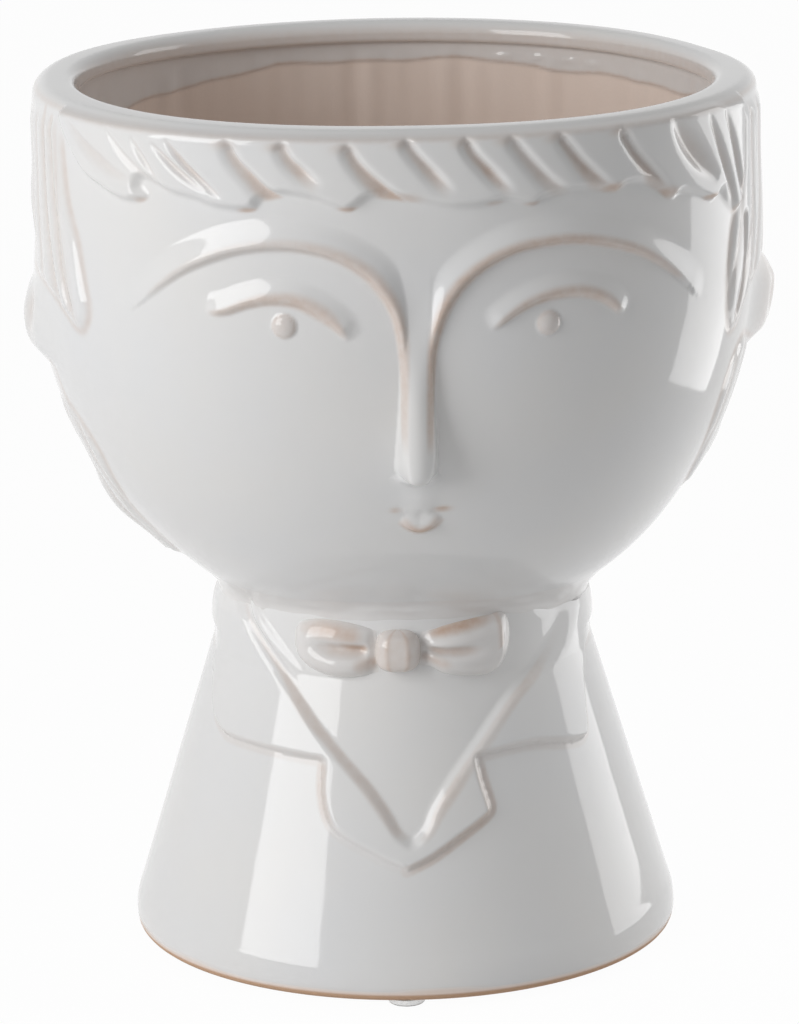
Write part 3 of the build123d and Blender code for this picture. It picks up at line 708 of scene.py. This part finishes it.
innerWall = {
    "fluteDepth": 0.45, "flutes": [(33, 0.5), (52, 2.2), (71, 4.4)],
    "glazeLevel": 116.2, "glazeWaves": [(5, 0.4, 0.3), (11, 0.35, 1.7), (23, 0.25, 4.0)],
    "glazeRise": 0.25, "edgeClay": 0.55, "wallClay": 0.15,
    # how far the glaze ran below that, by azimuth
    "glazeRuns": [(-180, 0), (-160, 0.2), (-147, 2.6), (-130, 6.6), (-126, 7.6), (-122, 16), (-100, 16),
                  (-60, 4), (0, 0), (60, 0), (110, 2), (130, 1.6), (145, 1.6), (160, 0.4), (180, 0)],
    "beads": [(155.5, 117.8), (148.5, 117.9), (142, 117.7), (136.5, 117.4)],
    "beadHalf": 1.3, "beadRise": 0.55,
}


def discRings(edge, shares, thin):
    # bare clay rings of a disc, at shares of the way from its middle to its edge
    middle = edge.mean(0)
    return [(middle + (edge - middle) * share, thin, 1) for share in shares]


def wallRings(azimuth):
    # the outer wall with its relief, and the round shoulder of the rim
    top = headForm["height"]
    shoulder = shoulderRound(azimuth)
    levels = spread(0, headGrid["rows"])
    across, up = np.meshgrid(azimuth, levels)
    up = up + (top - shoulder - levels[-1]) * ease(104, levels[-1], up)
    height, thin = headRelief(across, up)
    wall = headPoint(across, up) + height[..., None] * headOutward(across, up)
    rings = [(wall[row], thin[row], 0) for row in range(len(levels))]
    rimOutward = headOutward(azimuth, np.full(azimuth.shape, 100.0))
    for turn in np.radians(np.linspace(0, 90, headGrid["shoulderRows"] + 1)[1:]):
        level = top - shoulder + shoulder * math.sin(turn)
        inset = shoulder * (1 - math.cos(turn))
        rise, thin = headRelief(azimuth, level)
        fade = 1 - ease(top - 0.5 * shoulder, top - 0.15 * shoulder, level)
        rings.append((headPoint(azimuth, level, inset) + (rise * fade)[:, None] * rimOutward, thin, 0))
    return rings


def rimRings(azimuth):
    # the rim's flat top, its round inner edge, and the round bead below that
    form = headForm
    shoulder = shoulderRound(azimuth)
    side = np.abs(np.sin(np.radians(azimuth))) ** 4
    rimWidth = form["rimWidth"] + (form["sideRimWidth"] - form["rimWidth"]) * side
    sharp = np.exp(-((azimuth - form["sharpTurn"]) / form["sharpSpread"]) ** 2)
    rimRound = form["rimRound"] + (form["sharpRound"] - form["rimRound"]) * sharp
    flat = rimWidth - shoulder - rimRound
    lines = [(shoulder + flat * 0.5, form["height"], 0)]
    for turn in np.radians(np.linspace(0, 90, headGrid["innerRoundRows"])):
        lines.append((shoulder + flat + rimRound * math.sin(turn),
                      form["height"] - rimRound * (1 - math.cos(turn)),
                      form["rimClay"] * math.sin(turn) ** 6))
    for turn in np.radians(np.linspace(0, 90, headGrid["beadRows"])):
        lines.append((rimWidth - form["beadRound"] * (1 - math.cos(turn)),
                      beadFoot + form["beadRound"] * (1 - math.sin(turn)), form["rimClay"]))
    lines.append((form["wall"] + 0.4, beadFoot, 0.2))
    return [(headPoint(azimuth, level, inset), warm, 0) for inset, level, warm in lines]


def innerPoints(azimuth, level):
    return headPoint(azimuth, np.full(azimuth.shape, float(level)), headForm["wall"], headForm["wall"])


def innerRings(azimuth):
    # the fluted inside: glazed down to a wavering edge with beads of glaze, bare clay below
    angle = np.radians(azimuth)
    flute = sum(np.cos(count * angle + phase) for count, phase in innerWall["flutes"])
    flute = innerWall["fluteDepth"] * flute / len(innerWall["flutes"])
    glazeEdge = waves(innerWall["glazeLevel"], angle, innerWall["glazeWaves"])
    glazeEdge = glazeEdge - np.interp(azimuth, *np.transpose(innerWall["glazeRuns"]))
    rings = []
    for level in np.concatenate([np.arange(beadFoot - 0.4, 100, -0.5), np.linspace(99, 60, 12),
                                 np.linspace(54, headForm["floorLevel"] + 0.4, 10)]):
        clay = ease(-0.5, 0.5, glazeEdge - level)
        points = innerPoints(azimuth, level)
        inward = points[:, :2] / np.linalg.norm(points[:, :2], axis=1, keepdims=True)
        shift = flute * ease(beadFoot, beadFoot - 8, level) + innerWall["glazeRise"] * clay
        for turn, drop in innerWall["beads"]:
            away = np.hypot(np.radians(azimuth - turn) * headForm["halfDepth"], level - drop)
            bead = np.clip(1 - (away / innerWall["beadHalf"]) ** 2, 0, 1)
            shift = shift - innerWall["beadRise"] * bead
        points[:, :2] += inward * shift[:, None]
        line = innerWall["edgeClay"] * np.exp(-((level - glazeEdge - 0.3) / 0.6) ** 2)
        rings.append((points, (line + innerWall["wallClay"]) * (1 - clay), clay))
    return rings


def makeHead():
    azimuth = allRound(headGrid)
    rings = discRings(headPoint(azimuth, 0), headGrid["footShares"], headForm["footClay"])
    rings += wallRings(azimuth) + rimRings(azimuth) + innerRings(azimuth)
    rings += discRings(innerPoints(azimuth, headForm["floorLevel"]), headGrid["floorShares"], 0)
    points = turned(np.array([ring[0] for ring in rings]), headForm["turnAngle"])
    thin, clay = [np.array([np.broadcast_to(ring[part], azimuth.shape) for ring in rings])
                  for part in (1, 2)]
    return skin("glazed_head", points, fields={"thinGlazeAndShade": thin, "bareClay": clay})


# Bust: a cone with a collar and lapels, all as one casting
bustForm = {
    "footRadius": 67.6, "bulge": 1.5, "bulgeLevel": 3.6, "coneStart": 11,
    "coneTop": 76, "coneTopRadius": 47.8, "neckRadius": 46.4, "height": 92.2,
    "footRound": 2, "wall": 6.4, "ringWidth": 9.4, "ringHeight": 5, "setback": 1.5,
    "bareFoot": 2.6, "bareWaves": [(5, 0.3, 1), (13, 0.2, 0)],      # how high the foot is bare
    "slant": 17,
}
bustCentre = (0, -bustForm["setback"])


def bustRadius(level):
    # outside radius at a level above the foot
    form = bustForm
    cone = np.interp(level, [0, form["coneStart"], form["coneTop"], form["height"]],
                     [form["footRadius"], form["footRadius"], form["coneTopRadius"],
                      form["neckRadius"]])
    low = (form["bulgeLevel"] - level) / form["bulgeLevel"]
    high = (level - form["bulgeLevel"]) / (form["coneStart"] - form["bulgeLevel"])
    away = np.where(level < form["bulgeLevel"], low, high)
    return cone + form["bulge"] * np.clip(1 - away ** 2, 0, 1)


def bustRun(azimuth, level):
    # run round the cone and run up it
    return np.radians(azimuth) * bustRadius(level), level / math.cos(math.radians(bustForm["slant"]))


def bustLine(points, steps=6, smooth=True):
    # points are (across, level) as seen from the front
    line = smoothLine(points, steps) if smooth else np.array(points, float)
    share = np.clip(line[:, 0] / (bustRadius(line[:, 1]) + 1), -1, 1)
    return np.stack(bustRun(np.degrees(np.arcsin(share)), line[:, 1]), -1)


# Coat: each line is (across, level); the openings run down from the neck to where they meet
coat = {
    "openingLeft": [(-41, 92.2), (-36, 84.5), (-30.3, 77.5), (-24.8, 71), (-20.4, 65.2), (-14.2, 58.5),
                    (-7.6, 51.7), (-3, 45.5), (-0.6, 41.5), (1.7, 39.5)],
    "openingRight": [(40.5, 92), (37, 84), (32, 77.6), (25, 71.3), (17, 61.6), (12.2, 55.7),
                     (8.4, 50.5), (5.6, 46), (4.2, 42.5), (1.7, 39.5)],
    "flapLeft": [(-60, 92.2), (-60, 77.5), (-49.5, 76.5), (-47.9, 72.5), (-48, 63.9), (-47.5, 60.4),
                 (-46, 58.3), (-43.5, 57.4), (-33.7, 57.2), (-20.7, 56.6)],
    "lapelLeft": [(-20.2, 56.4), (-20.6, 49.9), (-19.8, 44.5), (-17.8, 40.6), (-14, 38),
                  (-9, 35.6), (-4.5, 33.4), (0.4, 31.6)],
    "flapRight": [(60, 92.2), (60, 77.5), (47.6, 76.5), (45.6, 72), (45.9, 64), (46.3, 58),
                  (45.6, 55.6), (42, 55.9), (31.6, 58.2), (18.6, 57.4)],
    "lapelRight": [(18.4, 57.2), (19.4, 52.5), (21, 47.5), (21.6, 44.8), (20.2, 42.8), (14, 38.8),
                   (7, 34.4), (0.4, 31.4)],
    "meetLeft": [(4.5, 35.2)], "meetRight": [(-3, 35.6)],     # each lapel runs on under the other
    "collarRise": 1.8,
    # by share of the way down an opening: width of the slope up to the collar, width of the
    # broken glaze beside it, and how much of that shows
    "slopesLeft": [(0, 3.2), (1, 3.2)], "slopesRight": [(0, 9), (0.16, 9), (0.36, 3.2), (1, 3.2)],
    "widthsLeft": [(0, 1), (0.3, 1.6), (0.45, 3), (0.6, 2.4), (0.85, 3.2), (0.97, 2.4), (1, 1)],
    "claysLeft": [(0, 0.1), (0.15, 0.25), (0.4, 0.4), (0.9, 0.35), (0.97, 0.2), (1, 0)],
    "widthsRight": [(0, 2.4), (0.4, 3), (0.8, 3.4), (1, 2)],
    "claysRight": [(0, 0), (0.2, 0.05), (0.35, 0.3), (0.6, 0.2), (0.8, 0.35), (0.94, 0.25), (1, 0)],
    "startLeft": 0, "startRight": 1.4,      # how far from the opening that begins
    "lapelClaysLeft": [(0, 0.2), (0.06, 0.4), (0.36, 0.35), (0.5, 0.1), (1, 0.05)],
    "lapelClaysRight": [(0, 0.2), (0.1, 0.4), (0.3, 0.45), (0.45, 0.55), (0.9, 0.4), (1, 0.2)],
    "flapClay": 0.16,
    # the shirt collar rolls up beside the left opening; the coat collar's top curls in
    "shirtRoll": 1.2, "shirtRollWidth": 2.1, "shirtRollShares": [(0.2, 1), (0.4, 0)],
    "curl": 1.6, "curlLevels": (86.5, 92.2), "curlTurns": (42, 56),
    # the band at the top of the collar, from the side round the back
    "bandTurns": (66, 84), "bandLevels": (72.5, 76.5),
    "bandRises": [(0, 0), (75, 0), (76.4, 0.25), (79, 0.75), (83, 1.05), (86.5, 0.9), (89, 0.1),
                  (90.7, -0.8), (92.2, -1.8)],
}


def bustRelief(azimuth, level):
    u, v = bustRun(azimuth, level)
    height = np.zeros(u.shape)
    thin = np.zeros(u.shape)
    for side in ("Left", "Right"):
        inner = coat["opening" + side]
        outline = [bustLine(coat["flap" + side], 5), bustLine(coat["lapel" + side], 5),
                   bustLine(coat["meet" + side], smooth=False), bustLine(inner[::-1], 5)]
        depth = insideDepth(u, v, np.vstack(outline))
        across, share = alongLine(u, v, bustLine(inner), 10)
        away = np.abs(across)
        slope = np.interp(share, *np.transpose(coat["slopes" + side]))
        near = ease(0, 1, away / slope) * (depth > 0)
        height = np.maximum(height, coat["collarRise"] * np.minimum(near, ease(-0.7, 2, depth)))
        width = smoothCurve(share, coat["widths" + side])
        start = coat["start" + side]
        band = ease(start, start + 0.8, away) * (1 - ease(0.7, 1.2, (away - start) / width))
        thin = np.maximum(thin, smoothCurve(share, coat["clays" + side]) * band * (depth > 0))
        if side == "Left":
            middle = 1.1 * coat["shirtRollWidth"]
            roll = np.clip(1 - ((away - middle) / coat["shirtRollWidth"]) ** 2, 0, 1) ** 1.5
            roll = coat["shirtRoll"] * roll * np.interp(share, *np.transpose(coat["shirtRollShares"]))
            height = np.where(depth < 0, height + roll, height)
        across, share = alongLine(u, v, bustLine(coat["lapel" + side]), 6)
        worn = smoothCurve(share, coat["lapelClays" + side])
        thin = np.maximum(thin, worn * edgeBand(0.6 - np.abs(across), 2))
        across, share = alongLine(u, v, bustLine(coat["flap" + side]), 6)
        thin = np.maximum(thin, coat["flapClay"] * edgeBand(0.6 - np.abs(across), 2.4))
    turn = np.abs(azimuth)
    band = smoothCurve(level, coat["bandRises"])
    behind = ease(*coat["bandTurns"], turn) * ease(*coat["bandLevels"], level)
    curl = coat["curl"] * ease(*coat["curlLevels"], level) * ease(*coat["curlTurns"], turn)
    return height + (band - height) * behind - curl * (1 - behind), thin


def bustInside():
    # the inside and the foot, as (radius, level) from the neck's top down and out again
    form = bustForm
    innerTop = form["neckRadius"] - form["wall"]
    footInner = form["footRadius"] - form["ringWidth"]
    footOuter = form["footRadius"] - form["footRound"]
    corners = [(innerTop, form["height"]), (form["coneTopRadius"] - form["wall"], form["coneTop"]),
               (form["footRadius"] - form["wall"], form["coneStart"] + form["wall"] / 2),
               (footInner, form["ringHeight"]), (footInner, 0)]
    line = [(form["neckRadius"] - 2, form["height"]), corners[0]]
    for (startRadius, startLevel), (endRadius, endLevel) in zip(corners, corners[1:]):
        line += [(startRadius + (endRadius - startRadius) * share,
                  startLevel + (endLevel - startLevel) * share) for share in np.linspace(0, 1, 7)[1:]]
    line += [(footInner + (footOuter - footInner) * share, 0) for share in (0.3, 0.6, 1)]
    edge = bustRadius(form["footRound"]) - form["footRound"]
    for angle in np.radians(np.linspace(0, 90, 7)[1:-1]):
        line.append((edge + form["footRound"] * math.sin(angle),
                     form["footRound"] * (1 - math.cos(angle))))
    return line


def makeBust():
    azimuth = allRound(bustGrid)
    angle = np.radians(azimuth)
    levels = spread(bustForm["footRound"], bustGrid["rows"])
    height, thin = bustRelief(*np.meshgrid(azimuth, levels))
    radius = bustRadius(levels)[:, None] + height
    bareLevel = waves(bustForm["bareFoot"], angle, bustForm["bareWaves"])
    clay = [ease(0.5, -0.5, level - bareLevel) for level in levels]
    lines = [*zip(radius, levels), *bustInside()]
    rings = [ringPoints(out, angle, bustBase + level, bustCentre) for out, level in lines]
    bare = np.ones((len(rings) - len(levels), len(azimuth)))
    fields = {"thinGlazeAndShade": np.vstack([thin, bare]), "bareClay": np.vstack([clay, bare])}
    return skin("glazed_bust", np.array(rings), looped=True, fields=fields)


# Bow tie: a knot between two folded loops, sprigged onto the neck
bow = {
    "turn": -1.4, "level": 83.5, "sink": 0.5,
    "leftReach": 32.5, "rightReach": 35.2,
    # by share of the reach: half height, how far the middle climbs, and height over the neck
    "leftHalves": [(0, 4.6), (0.2, 5.2), (0.3, 6), (0.45, 6.8), (0.62, 7), (0.8, 6.2), (0.93, 4.6),
                   (1, 2.4)],
    "leftClimbs": [(0, -0.2), (0.5, 0), (0.8, 0.8), (1, 1.8)],
    "rightHalves": [(0, 4), (0.25, 4.4), (0.4, 6), (0.6, 7), (0.77, 7.3), (0.9, 6.3), (0.97, 4.6),
                    (1, 2.6)],
    "rightClimbs": [(0, 0.4), (0.25, 0.6), (0.4, 0), (0.77, 0.1), (0.9, 1.6), (1, 3)],
    "loopRises": [(0, 0), (0.2, 0), (0.28, 1.6), (0.38, 2.8), (0.55, 3.4), (0.8, 3.1), (0.92, 2.2),
                  (1, 0.5)],
    # each fold: height across the loop, where it starts and ends, width, depth (a rib if
    # below zero), and clay
    "leftFolds": [(-0.75, 0.26, 1.05, 0.32, 0.2, 0.75), (-0.05, 0.24, 0.85, 0.24, 2.2, 0.5),
                  (-0.16, 0.24, 0.62, 0.19, 0.3, 1), (0.55, 0.1, 1, 0.3, -0.5, 0),
                  (0.62, 0.16, 0.45, 0.32, 0, 0.6)],
    "rightFolds": [(1.02, 0.2, 0.95, 0.22, 0.4, 1), (0.42, 0.15, 0.95, 0.22, -0.6, 0),
                   (0.02, 0.2, 0.8, 0.18, 1.5, 0.6), (-0.5, 0.12, 1, 0.28, -0.5, 0),
                   (-0.6, 0.16, 0.5, 0.3, 0, 0.55)],
    "loopClay": 0.12, "loopColumns": 40,
    # a worn rib near the right loop's end: share of the reach, half width, height, clay
    "endRib": (0.87, 0.035, 0.5, 0.5),
    "knotHalf": 5.7, "knotHalfHeight": 5.2, "knotRise": 4.8, "knotUp": 0.3, "knotClay": 0.36,
    # the knot's two facet edges: place across, half width, height, clay
    "facet": (0.42, 0.1, 0.22, 0.3), "knotColumns": 36, "knotRows": 40,
}


def neckPoint(azimuth, level, rise):
    return ringPoints(bustRadius(level) + rise, np.radians(azimuth), bustBase + level, bustCentre)


def cushion(crown, across):
    # full in the middle and round to the edges
    return crown * np.clip(1 - np.abs(across) ** 3, 0, 1) ** 0.5


def bowShell(name, columns, rows, shape):
    # a shell from shape(row share, column place), closed at the back on the neck
    front = np.sin(np.linspace(-np.pi / 2, np.pi / 2, columns))
    rings = []
    thin = []
    for share in rows:
        azimuth, level, rise, worn = shape(share, front)
        outside = neckPoint(azimuth, level, np.maximum(rise, 0))
        back = neckPoint(azimuth[1:-1], level[1:-1], np.full(columns - 2, -bow["sink"]))
        rings.append(np.concatenate([outside, back[::-1]]))
        thin.append(np.concatenate([worn, np.zeros(columns - 2)]))
    thin = np.array(thin)
    return skin(name, np.array(rings), fields={"thinGlazeAndShade": thin, "bareClay": np.zeros(thin.shape)})


def bowLoop(side):
    sign = 1 if side == "right" else -1

    def shape(share, across):
        half = smoothCurve(share, bow[side + "Halves"])
        climb = smoothCurve(share, bow[side + "Climbs"])
        rise = cushion(smoothCurve(share, bow["loopRises"]), across)
        worn = np.full(across.shape, bow["loopClay"])
        for centre, start, end, width, depth, clay in bow[side + "Folds"]:
            strength = float(between((0, 0.2, 0.5, 1), (share - start) / (end - start)))
            valley = np.exp(-((across - centre * (0.75 + 0.25 * share)) / width) ** 2)
            rise = rise - depth * strength * valley
            worn = np.maximum(worn, clay * strength * valley)
        if side == "right":
            middle, spreadShare, height, clay = bow["endRib"]
            ridge = math.exp(-((share - middle) / spreadShare) ** 2)
            rise = rise + height * ridge * np.clip(1 - across ** 2, 0, 1)
            worn = np.maximum(worn, clay * ridge * (across > -0.2))
        azimuth = np.full(across.shape, bow["turn"] + sign * bow[side + "Reach"] * share)
        return azimuth, bow["level"] + climb + sign * half * across, rise, worn

    tip = np.sin(np.linspace(0.15, np.pi / 2, 12))
    rows = np.concatenate([np.linspace(0.04, 0.9, 44), 0.9 + 0.1 * tip])
    return bowShell("bow_" + side, bow["loopColumns"], rows, shape)


def bowKnot():
    place, facetHalf, facetRise, facetClay = bow["facet"]

    def shape(share, across):
        tall = math.cos(math.pi * share)
        half = bow["knotHalf"] * (1 - abs(tall) ** 3.4) ** 0.42
        facet = np.exp(-((np.abs(across) - place) / facetHalf) ** 2)
        rise = cushion(bow["knotRise"] * (1 - abs(tall) ** 4.5) ** 0.5, across)
        rise = rise + facetRise * facet * (1 - tall ** 2)
        azimuth = bow["turn"] + np.degrees(half * across / bustForm["coneTopRadius"])
        level = np.full(across.shape, bow["level"] + bow["knotUp"] + bow["knotHalfHeight"] * tall)
        return azimuth, level, rise, bow["knotClay"] + facetClay * facet

    return bowShell("bow_knot", bow["knotColumns"], np.linspace(0.98, 0.02, bow["knotRows"]), shape)


def makeBow():
    pieces = [bowLoop("left"), bowLoop("right"), bowKnot()]
    joined = pieces[2]
    with bpy.context.temp_override(active_object=joined, selected_editable_objects=pieces,
                                   object=joined, selected_objects=pieces):
        bpy.ops.object.join()
    joined.name = "glazed_bow_tie"
    return joined


# Slip bead: clay slip that was squeezed out where the head was luted to the bust
slip = {
    "inner": 40.4, "headLevel": 4.6, "headClimb": 0.5, "corner": 0.4, "neckRun": 2.8, "topGap": 1.4,
    "sink": 0.08, "cover": 0.3, "steps": 14, "ridgeRise": 0.3, "ridgeHalf": 0.12, "thin": 0.08,
    "waves": [(7, 0.16, 0.4), (13, 0.14, 2.1), (29, 0.1, 3.3)],
    # squeezed-out ridges: azimuth, half length, share of the way up
    "ridges": [(-8, 5, 0.4), (4, 6, 0.35), (24, 5, 0.45), (-27, 6, 0.5), (38, 5, 0.5)],
    "innerTop": 0.79, "innerFoot": 0.01, "innerStep": 1.4,
}


def makeSlip():
    azimuth = np.linspace(-180, 180, 360, endpoint=False)
    angle = np.radians(azimuth)

    def headRing(level):
        # the head at a level above its foot, as radius and height over the bust's axis
        points = turned(headPoint(azimuth - headForm["turnAngle"], level), headForm["turnAngle"])
        radius = np.hypot(points[:, 0], points[:, 1] + bustForm["setback"])
        polar = np.degrees(np.arctan2(points[:, 0], -points[:, 1] - bustForm["setback"]))
        return [np.interp(azimuth, polar, values, period=360) for values in (radius, points[:, 2])]

    def neckRadii(level):
        # the lowest and the highest of the neck near each point
        near = [bustRadius(level + climb) + bustRelief(azimuth + turn, level + climb)[0]
                for turn in (-1.5, 0, 1.5) for climb in (-0.5, 0)]
        return np.min(near, axis=0), np.max(near, axis=0)

    highRadius, highLevel = headRing(slip["headLevel"])
    lowRadius, lowLevel = headRing(slip["headLevel"] - slip["headClimb"])
    neck = neckRadii(bustForm["height"] + 0 * angle)[1] + slip["cover"]
    run = (highRadius - neck - slip["corner"]) / (highRadius - lowRadius)
    cornerLevel = highLevel - (highLevel - lowLevel) * run
    footLevel = np.minimum(cornerLevel - slip["neckRun"], bustBase + bustForm["height"] - slip["topGap"])
    footLevel = waves(footLevel, angle, slip["waves"])
    footRadius = neckRadii(footLevel - bustBase)[0]
    line = []
    for share in np.linspace(0, 1, slip["steps"]):
        start, middle, end = (1 - share) ** 2, 2 * share * (1 - share), share ** 2
        radius = (footRadius - slip["sink"]) * start + neck * middle + (highRadius - slip["sink"]) * end
        for turn, length, height in slip["ridges"]:
            away = ((azimuth - turn) / length) ** 2 + ((share - height) / slip["ridgeHalf"]) ** 2
            radius = radius + slip["ridgeRise"] * np.exp(-away)
        line.append((radius, footLevel * start + cornerLevel * middle + highLevel * end))
    line += [(slip["inner"], jointLevel + slip["innerTop"]),
             (slip["inner"], jointLevel + slip["innerFoot"]),
             (footRadius - slip["innerStep"], jointLevel + slip["innerFoot"])]
    rings = np.array([ringPoints(radius, angle, level, bustCentre) for radius, level in line])
    thin = np.full(rings.shape[:2], slip["thin"])
    return skin("slip_bead", rings, looped=True,
                fields={"thinGlazeAndShade": thin, "bareClay": np.zeros(thin.shape)})


# Bumper pads: clear cast discs, each on a film of adhesive
pad = {
    "radius": 4.6, "height": 1.6, "round": 0.75, "dish": 0.12, "columns": 72,
    "topRings": (0.6, 1.6, 2.6, 3.4), "sideShares": (0.6, 0.8, 0.94), "footRings": (3, 1.2),
    "filmInset": 0.1, "filmHole": 1.2,
}


def revolve(name, profile, centre):
    angle = np.radians(np.linspace(-180, 180, pad["columns"], endpoint=False))
    return skin(name, np.array([ringPoints(radius, angle, level, centre) for radius, level in profile]))


def makePad(side):
    low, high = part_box("foot_pad_" + side)
    profile = [(radius, 0) for radius in pad["topRings"]]
    for angle in np.radians(np.linspace(0, 80, 7)):
        profile.append((pad["radius"] - pad["round"] * (1 - math.sin(angle)),
                        pad["round"] * (1 - math.cos(angle))))
    profile += [(pad["radius"], share * pad["height"]) for share in pad["sideShares"]]
    profile += [(radius, pad["height"]) for radius in (pad["radius"] - pad["dish"], *pad["footRings"])]
    return revolve("bumper_" + side, profile, (low + high) / 2 / toMetres)


def makeFilm(side):
    low, high = [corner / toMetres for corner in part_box("pad_adhesive_" + side)]
    radius = (high.x - low.x) / 2
    edge = radius - pad["filmInset"]
    profile = [(pad["filmHole"], low.z), (edge, low.z), (radius, (low.z + high.z) / 2),
               (edge, high.z), (pad["filmHole"], high.z)]
    return revolve("adhesive_" + side, profile, (low + high) / 2)


plasticLooks = {
    # cast polyurethane elastomer: clear and a little milky, with a smooth moulded skin
    "cast_polyurethane": {"dark": "#dfe0e0", "pale": "#f4f4f3", "hazeSize": 1.5, "hazeDetail": 3,
                          "hazeDepth": 0.02, "roughness": 0.22, "bending": 1.5, "clearness": 0.55},
    # film of acrylic adhesive, coated on a liner: clear, faintly yellow, with a soft gloss
    "acrylic_adhesive": {"dark": "#cfcabb", "pale": "#e6e2d6", "hazeSize": 0.8, "hazeDetail": 4,
                         "hazeDepth": 0, "roughness": 0.35, "bending": 1.47, "clearness": 0.4},
}


def clearPlastic(name):
    look = plasticLooks[name]
    material = bpy.data.materials.new(name)
    tree = emptyTree(material)
    spot = addNode(tree, "ShaderNodeTexCoord").outputs["Object"]
    haze = addNode(tree, "ShaderNodeTexNoise", None, {
        "Vector": spot, "Scale": patternScale(look["hazeSize"]),
        "Detail": look["hazeDetail"]}).outputs["Fac"]
    colour = addNode(tree, "ShaderNodeMix", {"data_type": "RGBA"}, {
        0: haze, 6: linearColour(look["dark"]), 7: linearColour(look["pale"])}).outputs[2]
    shader = addNode(tree, "ShaderNodeBsdfPrincipled", None, {
        "Base Color": colour, "Roughness": look["roughness"], "IOR": look["bending"],
        "Transmission Weight": look["clearness"]})
    if look["hazeDepth"]:
        bump = addNode(tree, "ShaderNodeBump", None, {
            "Strength": 0.5, "Distance": look["hazeDepth"] * toMetres, "Height": haze})
        tree.links.new(bump.outputs[0], shader.inputs["Normal"])
    addNode(tree, "ShaderNodeOutputMaterial", None, {"Surface": shader.outputs[0]})
    return material


glaze = stonewareGlaze("white_stoneware_glaze", glazeLook, bareLook)
dress(makeHead(), ["head_bowl"], [glaze])
dress(makeBust(), ["bust_stand"], [glaze])
dress(makeBow(), ["bow_tie"], [glaze])
dress(makeSlip(), ["slip_joint"], [glaze])
polyurethane = clearPlastic("cast_polyurethane")
adhesive = clearPlastic("acrylic_adhesive")
for side in ("front", "right", "back", "left"):
    dress(makePad(side), ["foot_pad_" + side], [polyurethane])
    dress(makeFilm(side), ["pad_adhesive_" + side], [adhesive])

# Studio: a white floor and backdrop, a large softbox at the left, a tall one at the right
studio = {
    "floorHalf": 6.0, "floorColour": "#f2f2f2", "floorGlow": 0.97,
    "ambient": 0.27,
    "softboxes": [
        # name, azimuth, distance, middle height, width, height in metres, and radiance
        ("key", -54, 1.1, 0.58, 0.7, 0.95, 4.1),
        ("side", 104, 0.34, 0.192, 0.18, 0.4, 2.3)],
}


def seenRays(tree):
    # 1 for what the camera sees, straight on or in gloss or clear material
    path = addNode(tree, "ShaderNodeLightPath")
    both = addNode(tree, "ShaderNodeMath", {"operation": "ADD"}, {
        0: path.outputs["Is Camera Ray"], 1: path.outputs["Is Glossy Ray"]})
    return addNode(tree, "ShaderNodeMath", {"operation": "ADD", "use_clamp": True}, {
        0: both.outputs[0], 1: path.outputs["Is Transmission Ray"]}).outputs[0]


def makeWorld():
    world = bpy.data.worlds.new("studio_white")
    bpy.context.scene.world = world
    tree = emptyTree(world)
    soft, white = [addNode(tree, "ShaderNodeBackground", None, {
        "Color": (1, 1, 1, 1), "Strength": strength}) for strength in (studio["ambient"], 1)]
    mixed = addNode(tree, "ShaderNodeMixShader", None, {
        0: seenRays(tree), 1: soft.outputs[0], 2: white.outputs[0]})
    addNode(tree, "ShaderNodeOutputWorld", None, {"Surface": mixed.outputs[0]})


def makeFloor():
    half = studio["floorHalf"]
    mesh = bpy.data.meshes.new("floor")
    mesh.from_pydata([(-half, -half, 0), (half, -half, 0), (half, half, 0), (-half, half, 0)], [],
                     [(0, 1, 2, 3)])
    floor = linked("floor", mesh)
    material = bpy.data.materials.new("white_paper_sweep")
    tree = emptyTree(material)
    paper = addNode(tree, "ShaderNodeBsdfDiffuse", None, {"Color": linearColour(studio["floorColour"])})
    glow = addNode(tree, "ShaderNodeEmission", None, {"Color": (1, 1, 1, 1), "Strength": 1})
    share = addNode(tree, "ShaderNodeMath", {"operation": "MULTIPLY"}, {
        0: seenRays(tree), 1: studio["floorGlow"]}).outputs[0]
    mixed = addNode(tree, "ShaderNodeMixShader", None, {
        0: share, 1: paper.outputs[0], 2: glow.outputs[0]})
    addNode(tree, "ShaderNodeOutputMaterial", None, {"Surface": mixed.outputs[0]})
    floor.data.materials.append(material)


def makeSoftboxes():
    for name, azimuth, distance, middle, width, height, radiance in studio["softboxes"]:
        lamp = bpy.data.lights.new(name, "AREA")
        lamp.shape = "RECTANGLE"
        lamp.size = width
        lamp.size_y = height
        lamp.energy = radiance * math.pi * width * height
        box = linked(name, lamp)
        angle = math.radians(azimuth)
        box.location = (distance * math.sin(angle), -distance * math.cos(angle), middle)
        box.rotation_euler = (math.radians(90), 0, angle)
        box.visible_camera = False


# Camera: fitted to the photograph's rim, chin and foot
view = {"place": (-0.35, -1286.5, 446.8), "pitchAngle": 14.76, "rollAngle": -0.7, "lens": 184.57,
        "sensor": 36, "farEnd": 50}


def makeCamera():
    pitch = math.radians(view["pitchAngle"])
    roll = math.radians(view["rollAngle"])
    forward = Vector((0, math.cos(pitch), -math.sin(pitch)))
    level = Vector((1, 0, 0))
    upright = level.cross(forward)
    right = level * math.cos(roll) + upright * math.sin(roll)
    above = upright * math.cos(roll) - level * math.sin(roll)
    data = bpy.data.cameras.new("studio_camera")
    data.lens = view["lens"]
    data.sensor_width = view["sensor"]
    data.clip_end = view["farEnd"]
    camera = linked("studio_camera", data)
    turn = Matrix((right, above, -forward)).transposed().to_4x4()
    camera.matrix_world = Matrix.Translation(Vector(view["place"]) * toMetres) @ turn
    bpy.context.scene.camera = camera


makeWorld()
makeFloor()
makeSoftboxes()
makeCamera()
bpy.context.scene.view_settings.view_transform = "Standard"
print("studio ready")
